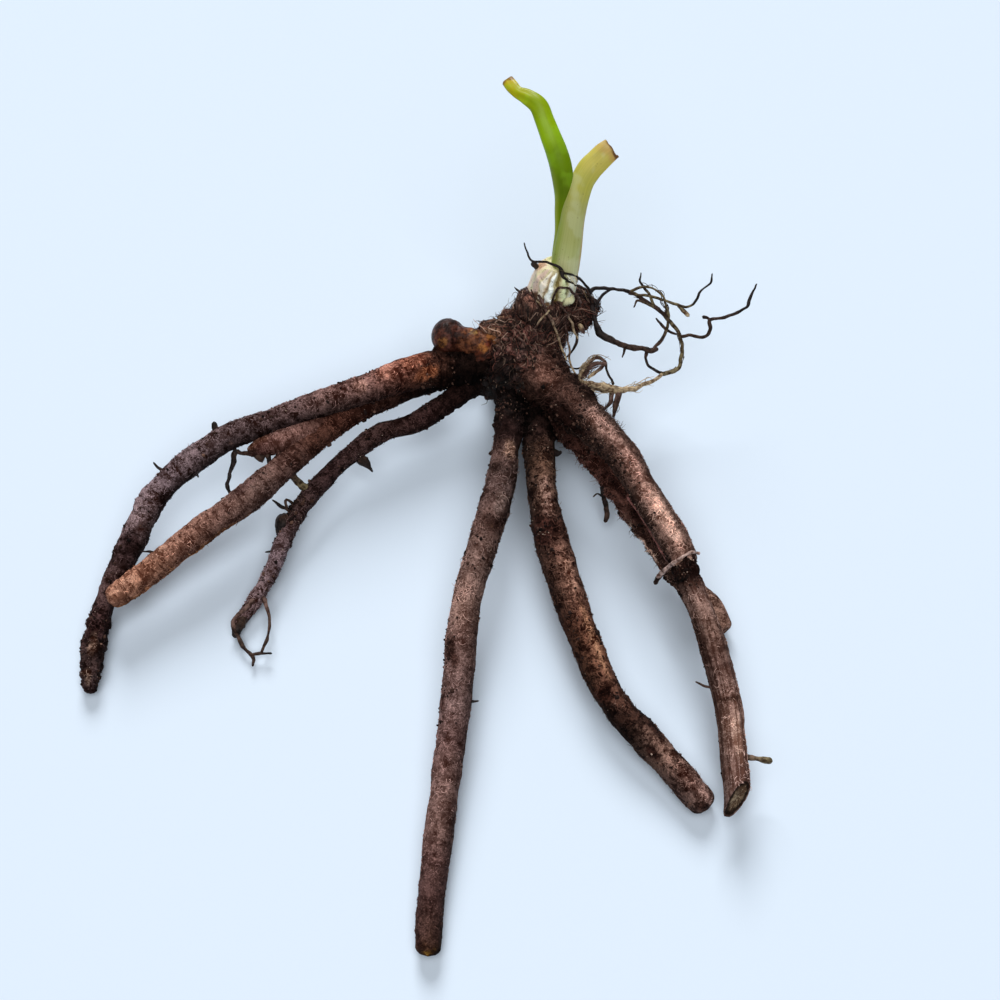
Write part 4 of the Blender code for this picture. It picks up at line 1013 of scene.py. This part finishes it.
# Flat tan fibres that hang over the crown from the shoot's base
hangers = [
    (bark, tan, [(28.2, 56.2, 32.6, 0.3), (30, 53.4, 31, 0.36), (32.2, 50, 27, 0.34), (34.2, 47.2, 22.2, 0.28),
        (35.4, 44.8, 20.2, 0.2)]),
    (bark, tan, [(33, 55, 31.2, 0.3), (35.4, 53.9, 27.2, 0.34), (37.2, 51.9, 23.4, 0.3), (38.4, 50.8, 20.4, 0.24)]),
    (tan, bark, [(31, 53, 30.6, 0.26), (29, 51.2, 29, 0.24), (27, 49.4, 27.2, 0.18)]),
    (bark, tan, [(34.9, 52.2, 25.8, 0.26), (36, 49.2, 21.6, 0.28), (36.2, 46, 20.2, 0.28), (37.4, 42.2, 19.4, 0.24),
        (40, 38.4, 18, 0.15)]),
    (bark, tan, [(25.2, 59.2, 31.5, 0.18), (27, 56.6, 31, 0.2), (29.5, 54.2, 30.2, 0.18), (31.5, 52.2, 28.6, 0.14)]),
    (umber, bark, [(26.4, 57.4, 33.2, 0.16), (27.4, 55.9, 31.6, 0.18), (28.2, 54, 30, 0.16)]),
    (bark, umber, [(29.6, 55.2, 32.4, 0.16), (29.2, 53.8, 30.6, 0.18), (28, 51.6, 28.2, 0.14)]),
    (bark, bark, [(23.7, 53.7, 26.2, 0.22), (27.5, 54.5, 27, 0.22), (30.8, 53.8, 26.2, 0.16)]),
    (bark, umber, [(21.7, 49.8, 24.4, 0.22), (25, 46.6, 25, 0.22), (26.9, 42.4, 23.8, 0.18)]),
    (umber, ink, [(25.4, 61.4, 24.6, 0.45), (23.5, 61.7, 25.5, 0.34), (22.3, 62.4, 26.2, 0.12)]),
    (tan, bark, [(38.6, 53.4, 23.3, 0.3), (38.9, 52.9, 23, 0.62), (39.6, 51.9, 22.2, 0.58), (39.9, 51.5, 21.8, 0.3)]),
]
wireLook = {"columns": 8, "step": 0.3, "knobbly": 0.22, "wander": 0.25}
spurLook = {**wireLook, "knobbly": 0.35, "wander": 0.12}


# A wiry root: small circles along its wandering course, swollen here and there, thinning to a point at the end
def wireShape(look, first, last, stations, seed):
    course = Course(stations, None)
    reach = course.length + course.lastRadius
    far, turn = turnGrid(0, reach, max(8, int(reach / look["step"])), look["columns"])
    closing = roundEnd(far, reach, 1.4 * course.lastRadius)
    bare = course.point(far, turn)
    swell = (1 + look["knobbly"] * layered(bare, 1.6, 3, seed)) * closing
    middle = np.stack([far, 0 * far, 0 * far], axis=-1)
    ease = smooth(0, 2, far) * smooth(0, 2, course.length - far)
    sway = np.stack([layered(middle, 2.6, 2, seed + n) for n in (1, 2, 3)], axis=-1)
    sway *= (look["wander"] * ease)[..., None]
    share = smooth(0.25, 0.75, far / reach + 0.2 * layered(bare, 2.0, 2, seed))[..., None]
    return tubeShape(course.point(far, turn, swell) + sway, {"hue": mixed(shade(first), shade(last), share)})


# Wisps: fine hairs that run beside a wiry root, winding round it and standing off it a little
def wispShape(stations, count, spread, hue, seed):
    course = Course(stations, None)
    draw = np.random.default_rng(seed)
    step = np.linspace(0, 1, 14)[None, :]
    length = draw.uniform(1.5, 6.0, (count, 1))
    far = draw.uniform(0, 1, (count, 1)) * max(course.length - 3, 0.5) + length * step
    turn = draw.uniform(0, tau, (count, 1)) + draw.normal(0, 2.5, (count, 1)) * step
    lift = draw.uniform(0.2, 1.0, (count, 1)) * spread * (1 + np.sin(draw.uniform(0, tau, (count, 1)) + 4 * step))
    tone = shade(hue) * draw.uniform(0.5, 1.3, (count, 1))
    return strandShape(course.point(far, turn, 1.0, lift), draw.uniform(0.07, 0.16, count), tone, np.full(count, 0.4))


def wireMaterial():
    recipe = Recipe("wirySkin", Specular_IOR_Level=0.15)
    level = recipe.patches(1.2, 4.0, 0.65, 0.36, 0.66) * 0.7
    return recipe.finish(toned(recipe, level, 0.75), 0.6, recipe.noise(0.3, 3.0, 0.6), 0.1, 0.7)


wiryPaint = wireMaterial()
spurs = joined([wireShape(spurLook, *spur, 300 + n) for n, spur in enumerate(rootlets)])
pieces["rootlets"] = makePiece("rootlets", spurs, wiryPaint, "root_bark")
wires = joined([wireShape(wireLook, *wire, 400 + n) for n, wire in enumerate(wiryRoots + hangers)])
pieces["wiryRoots"] = makePiece("wiryRoots", wires, wiryPaint, "wiry_root", "fibrous_roots")
# Wisps beside some of them: which wiry root, how many, how far off, colour
wispLooks = [
    (2, 34, 0.7, tan), (4, 12, 0.4, tan), (5, 26, 0.5, bark), (1, 12, 0.3, umber), (16, 14, 0.4, umber),
    (9, 8, 0.4, umber), (12, 8, 0.4, olive),
]
wisps = [wispShape(wiryRoots[number][2], *look, 700 + n) for n, (number, *look) in enumerate(wispLooks)]
pieces["wisps"] = makePiece("wisps", joined(wisps), fibrePaint, "wiry_root")
print("rootlets and wiry roots grown")

# The root ball on the crown's side
ballLook = {
    "centre": (38.2, 59.0, 19.8), "radii": (4.5, 4.4, 5.2), "coarse": 1.3, "grid": (80, 110), "fibres": 600,
    "seed": 23, "hue": (58, 38, 31),
}


# The ball's skin: directions from its centre, stretched to its radii and raised by noise
def ballPoint(look, direction, lift=0.0):
    bare = np.array(look["centre"]) + direction * np.array(look["radii"])
    return bare + direction * (look["coarse"] * layered(bare, 3.0, 3, 31) + lift)[..., None]


def ballShape(look):
    points = ballPoint(look, ballGrid(*look["grid"], 0.01))
    return tubeShape(points, {"hue": painted(look["hue"], points) * exposure})


# Curled fibres round the ball, on the same plan as the crown's
def ballFibres(look):
    draw = np.random.default_rng(look["seed"])
    count = look["fibres"]
    outward = unit(draw.normal(size=(count, 3)))
    ahead, across = fibreWays(draw, outward)
    step = np.linspace(0, 1, 9)[None, :]
    length, curl = draw.uniform(0.4, 1.3, count)[:, None], draw.normal(0, 0.9, count)[:, None]
    direction = strayed(outward, ahead, across, length * step, length * curl * step**2)
    lift = 0.1 + draw.exponential(0.4, count)[:, None] * (0.3 + 1.5 * step**2)
    hue = fibreColours(draw, count)
    tint = np.clip(draw.normal(0.3, 0.25, count), 0, 1)
    return strandShape(ballPoint(look, direction, lift), draw.uniform(0.07, 0.18, count), hue, tint)


pieces["rootBall"] = makePiece("rootBall", ballShape(ballLook), soilPaint, "wiry_root")
pieces["ballFibres"] = makePiece("ballFibres", ballFibres(ballLook), fibrePaint, "wiry_root")
print("root ball grown")

# The shoot's pale base. ribs: (turn, spread, from, to, height, colour); turn 270 faces the front, 330 the left
baseLook = {
    "course": [
        (29.4, 57.4, 21, 4.4), (30.2, 59.0, 24, 5.2), (31.4, 60.4, 27.6, 5.5), (32.3, 61.3, 31, 5.4),
        (32.8, 61.8, 33.4, 5.1), (33.0, 62.0, 34.6, 4.1), (33.2, 62.4, 35.5, 2.4),
    ],
    "hint": (0.0, 1.0, 0.0), "grid": (110, 150), "fine": 0.22, "hue": (206, 190, 146),
    "ribs": [
        (332, 12, 4.0, 16, 0.3, (214, 182, 160)), (311, 7, 6.0, 16, 0.5, (240, 224, 202)),
        (300, 4, 5.0, 16, -0.4, (170, 142, 112)), (288, 8, 4.0, 16, 0.9, (255, 253, 242)),
        (268, 7, 7.0, 16, -0.6, (124, 106, 54)), (272, 7, 4.5, 8.4, 0.5, (255, 253, 242)),
        (250, 8, 3.4, 16, 0.5, (226, 226, 172)), (238, 4, 5.0, 16, -0.4, (150, 146, 96)),
        (226, 8, 6.0, 16, 0.4, (222, 218, 196)), (208, 8, 5.0, 16, 0.4, (196, 190, 168)),
        (180, 20, 4.0, 16, 0.2, (176, 150, 110)), (20, 30, 4.0, 16, 0.3, (220, 190, 160)),
        (80, 26, 5.0, 16, 0.4, (208, 200, 150)), (130, 22, 4.0, 16, 0.2, (222, 206, 170)),
    ],
    "daubs": [
        ((29.0, 63.4, 34.4), 1.5, (178, 134, 100)), ((25.4, 59.0, 26.4), 2.6, (110, 78, 60)),
        ((31.6, 55.0, 25.6), 1.2, (120, 92, 66)), ((28.4, 56.0, 27.4), 1.8, (124, 92, 66)),
        ((27.2, 56.8, 30.4), 1.5, (104, 76, 58)), ((30.2, 55.4, 30.4), 1.1, (120, 88, 60)),
        ((33.6, 55.8, 29.6), 1.1, (98, 72, 52)), ((36.6, 59.6, 27.0), 2.4, (88, 60, 48)),
        ((30, 58, 21), 5.4, (70, 48, 38)),
    ],
    "buds": [
        [(33.6, 58.6, 26.8, 1.0), (34.5, 58.0, 27.8, 1.45), (35.3, 57.4, 28.6, 1.6), (36.2, 57.1, 29.0, 1.2)],
        [(28.4, 63.0, 33.4, 0.5), (27.6, 63.2, 34.8, 0.72), (27.1, 63.3, 35.5, 0.76)],
    ],
    "budHues": [(222, 212, 166), (34, 22, 19)], "budGrid": (40, 36),
}


# The base's skin: circles along its course; ribs run up it, each with rounded ends and its own colour
def baseShape(look):
    course = Course(look["course"], look["hint"])
    far, turn = turnGrid(0, course.length, *look["grid"])
    bare = course.point(far, turn)
    rag = layered(bare, 1.2, 3, 85)
    hue = painted(look["hue"], bare)
    lift = look["fine"] * skinNoise(pipeSkin(turn, far), (3.4, 3.4, 0.16), 84, 3)
    for angle, spread, start, end, height, tint in look["ribs"]:
        apart = degreesApart(turn, angle) + 5 * rag
        within = smooth(start - 1, start + 1, far + rag) * smooth(end + 1, end - 1, far + rag)
        share = np.exp(-(apart / spread) ** 2) * within
        lift = lift + height * share
        share = smooth(0.3, 0.7, share)[..., None]
        hue = mixed(hue, shade(tint), share)
    points = course.point(far, turn, 1.0, lift)
    return tubeShape(points, {"hue": daubed(points, hue, look["daubs"], 86)})


def budShape(stations, tint, seed):
    course = Course(stations)
    reach = course.length + course.lastRadius
    far, turn = turnGrid(0, reach, *baseLook["budGrid"])
    closing = roundEnd(far, reach, course.lastRadius)
    points = course.point(far, turn, closing, 0.12 * layered(course.point(far, turn), 1.0, 2, seed) * closing)
    hue = painted(tint, points)
    # A spot near each bud's tip: painted shade of a dimple on the pale bud, a painted highlight on the dark bud
    tipShadeAndHighlight = [(points[-1].mean(0) - np.array([0.9, 0.2, 0.2]), 0.55, (96, 78, 40))]
    return tubeShape(points, {"hue": daubed(points, hue, tipShadeAndHighlight, seed)})


def fleshMaterial():
    recipe = Recipe("creamFlesh", Specular_IOR_Level=0.4)
    level = recipe.patches(1.0, 4.0, 0.65, 0.34, 0.6) * 0.1 + 0.37
    dirt = recipe.patches(0.8, 4.0, 0.7, 0.54, 0.66)
    base = recipe.blend(dirt * 0.6, toned(recipe, level, 0.35), colour(84, 56, 40))
    return recipe.finish(base, 0.45, recipe.noise(0.6, 2.0, 0.5), 0.08, 0.5)


fleshPaint = fleshMaterial()
pieces["shootBase"] = makePiece("shootBase", baseShape(baseLook), fleshPaint, "shoot_base", "shoot_base")
buds = joined([budShape(*bud, 90 + n) for n, bud in enumerate(zip(baseLook["buds"], baseLook["budHues"]))])
pieces["baseBuds"] = makePiece("baseBuds", buds, fleshPaint, "shoot_base")
print("shoot base grown")

# The leaves
outerLeafLook = {
    "course": [
        (34.7, 61.6, 31.4, 3.2), (35.0, 63.6, 35.4, 3.55), (35.6, 66.2, 39.5, 3.4), (36.3, 69.6, 44.0, 3.07),
        (36.8, 71.8, 46.4, 3.02), (37.6, 74.3, 48.8, 2.95), (38.7, 76.9, 51.1, 2.95), (40.4, 79.2, 52.9, 3.08),
        (42.3, 80.9, 53.9, 3.0), (44.2, 82.5, 54.8, 2.93), (45.9, 83.7, 55.3, 2.7),
    ],
    "hint": (0.0, 0.42, -0.906), "mouth": (58, 50), "opening": (34, 48), "flatness": (0.85, 0.5), "wall": 0.6,
    "waves": 0.5, "grid": (130, 56),
    "stops": [
        (0, (226, 216, 184)), (0.13, (204, 204, 148)), (0.22, (184, 190, 122)), (0.34, (176, 180, 108)),
        (0.5, (178, 178, 104)), (0.68, (188, 184, 80)), (0.9, (198, 184, 84)), (0.975, (194, 160, 84)),
        (1.0, (104, 66, 38)),
    ],
    "paint": "paleLeaf", "rough": 0.5, "paintedSheen": (204, 210, 164), "sides": ((156, 172, 70), (206, 160, 84)),
}
innerLeafLook = {
    "course": [
        (33.6, 61.8, 29.6, 1.7), (33.5, 63.0, 32.4, 1.75), (33.4, 65.3, 36.2, 1.8), (34.0, 68.8, 41.2, 1.8),
        (34.1, 72.2, 45.4, 2.0), (34.4, 75.2, 48.9, 2.42), (33.6, 79.0, 53.6, 2.71), (32.4, 81.8, 56.7, 2.67),
        (31.0, 84.3, 59.2, 2.52), (29.5, 87.6, 61.2, 2.35), (28.0, 91.1, 62.4, 2.3), (25.3, 93.5, 62.6, 1.95),
        (23.1, 95.0, 62.4, 1.5), (21.7, 96.9, 62.2, 1.6), (20.5, 99.0, 62.0, 1.5),
    ],
    "hint": (0.0, 0.42, -0.906), "mouth": (80, 80), "opening": (6, 40), "flatness": (0.8, 0.42), "wall": 0.55,
    "waves": 0.35, "grid": (130, 56),
    # the lighter stop at 0.68 is a painted highlight on the leaf's bend
    "stops": [
        (0, (190, 196, 110)), (0.16, (146, 160, 46)), (0.32, (102, 128, 0)), (0.44, (88, 114, 0)),
        (0.56, (112, 146, 0)), (0.68, (150, 188, 10)), (0.8, (130, 156, 0)), (0.9, (160, 164, 0)),
        (0.985, (184, 166, 24)), (1.0, (136, 100, 44)),
    ],
    "paint": "greenLeaf", "rough": 0.35, "paintedSheen": (146, 192, 40), "sides": ((150, 166, 40), (96, 124, 0)),
}


# A leaf: an open, flattened arc carried along its course; its mouth turns and widens from foot to cut end
def leafShape(look, seed):
    course = Course(look["course"], look["hint"])
    share, across = np.meshgrid(*(np.linspace(0, 1, count) for count in look["grid"]), indexing="ij")
    far = share * course.length
    rag = 0.2 * smooth(0.97, 1.0, share) * speckle(np.stack([across * 9, 0 * across, 0 * across], axis=-1), 1.0, seed)
    middle, radius, _, side, up = course.read(far + rag)
    opening = np.radians(np.interp(share, (0, 1), look["opening"]))
    turn = np.radians(np.interp(share, (0, 1), look["mouth"])) + opening + across * (tau - 2 * opening)
    flat = np.interp(share, (0, 1), look["flatness"])
    skin = pipeSkin(turn, far)
    size = radius + 0.03 * skinNoise(skin, (6, 6, 0.02), seed)
    swing = look["waves"] * smooth(0.5, 1, share) * skinNoise(skin, (0.9, 0.9, 0.12), seed + 3)
    lip = smooth(0, 0.06, across) * smooth(0, 0.06, 1 - across)
    out = side * np.cos(turn)[..., None] + up * (np.sin(turn) * flat)[..., None]
    sway = up * swing[..., None]
    front = middle + out * size[..., None] + sway
    back = middle + out * (size - look["wall"] * (0.4 + 0.6 * lip))[..., None] + sway
    return sheetShape(front, back, {"skin": skin, "tone": share})


# A leaf's colours by distance along, with its left side (skin x above a half) and right edge tinted low down, and
# lighter patches that are a painted sheen
def leafMaterial(look):
    recipe = Recipe(look["paint"], Specular_IOR_Level=0.25)
    stops, sides = look["stops"], look["sides"]
    share = recipe.mark("tone") + (recipe.noise(4, 3.0, 0.55) - 0.5) * 0.12
    base = colour(*stops[0][1])
    for (low, _), (high, tint) in zip(stops, stops[1:]):
        base = recipe.blend(recipe.step(share, low, high), base, colour(*tint))
    across = recipe.node("SeparateXYZ", {}, {0: recipe.mark("skin", "Vector")})
    low = recipe.step(share, 0.62, 0.3)
    base = recipe.blend(recipe.step(across, 0.35, 0.9) * low, base, colour(*sides[0]))
    base = recipe.blend(recipe.step(across, -0.8, -0.98) * low * 0.8, base, colour(*sides[1]))
    lines = recipe.skinNoise((9, 9, 0.03), 2.0, 0.6)
    base = recipe.blend(recipe.step(lines, 0.4, 0.62) * 0.16, base, colour(120, 130, 40))
    # painted highlight: soft lighter patches of this colour stand in for the leaf's sheen
    sheen = recipe.patches(6, 2.0, 0.5, 0.5, 0.62)
    base = recipe.blend(sheen * 0.35, base, colour(*look["paintedSheen"]))
    fleck = recipe.patches(0.8, 2.0, 0.5, 0.7, 0.74)
    base = recipe.blend(fleck * 0.5, base, colour(120, 100, 50))
    return recipe.finish(base, look["rough"], lines, 0.03, 0.4)


leaves = {"outerLeaf": (outerLeafLook, 120, "outer_leaf"), "innerLeaf": (innerLeafLook, 140, "inner_leaf")}
for name, (look, seed, node) in leaves.items():
    pieces[name] = makePiece(name, leafShape(look, seed), leafMaterial(look), node, node)
print("leaves grown")

faces = sum(len(piece.data.polygons) for piece in pieces.values())
print("pieces", len(pieces), "faces", faces)
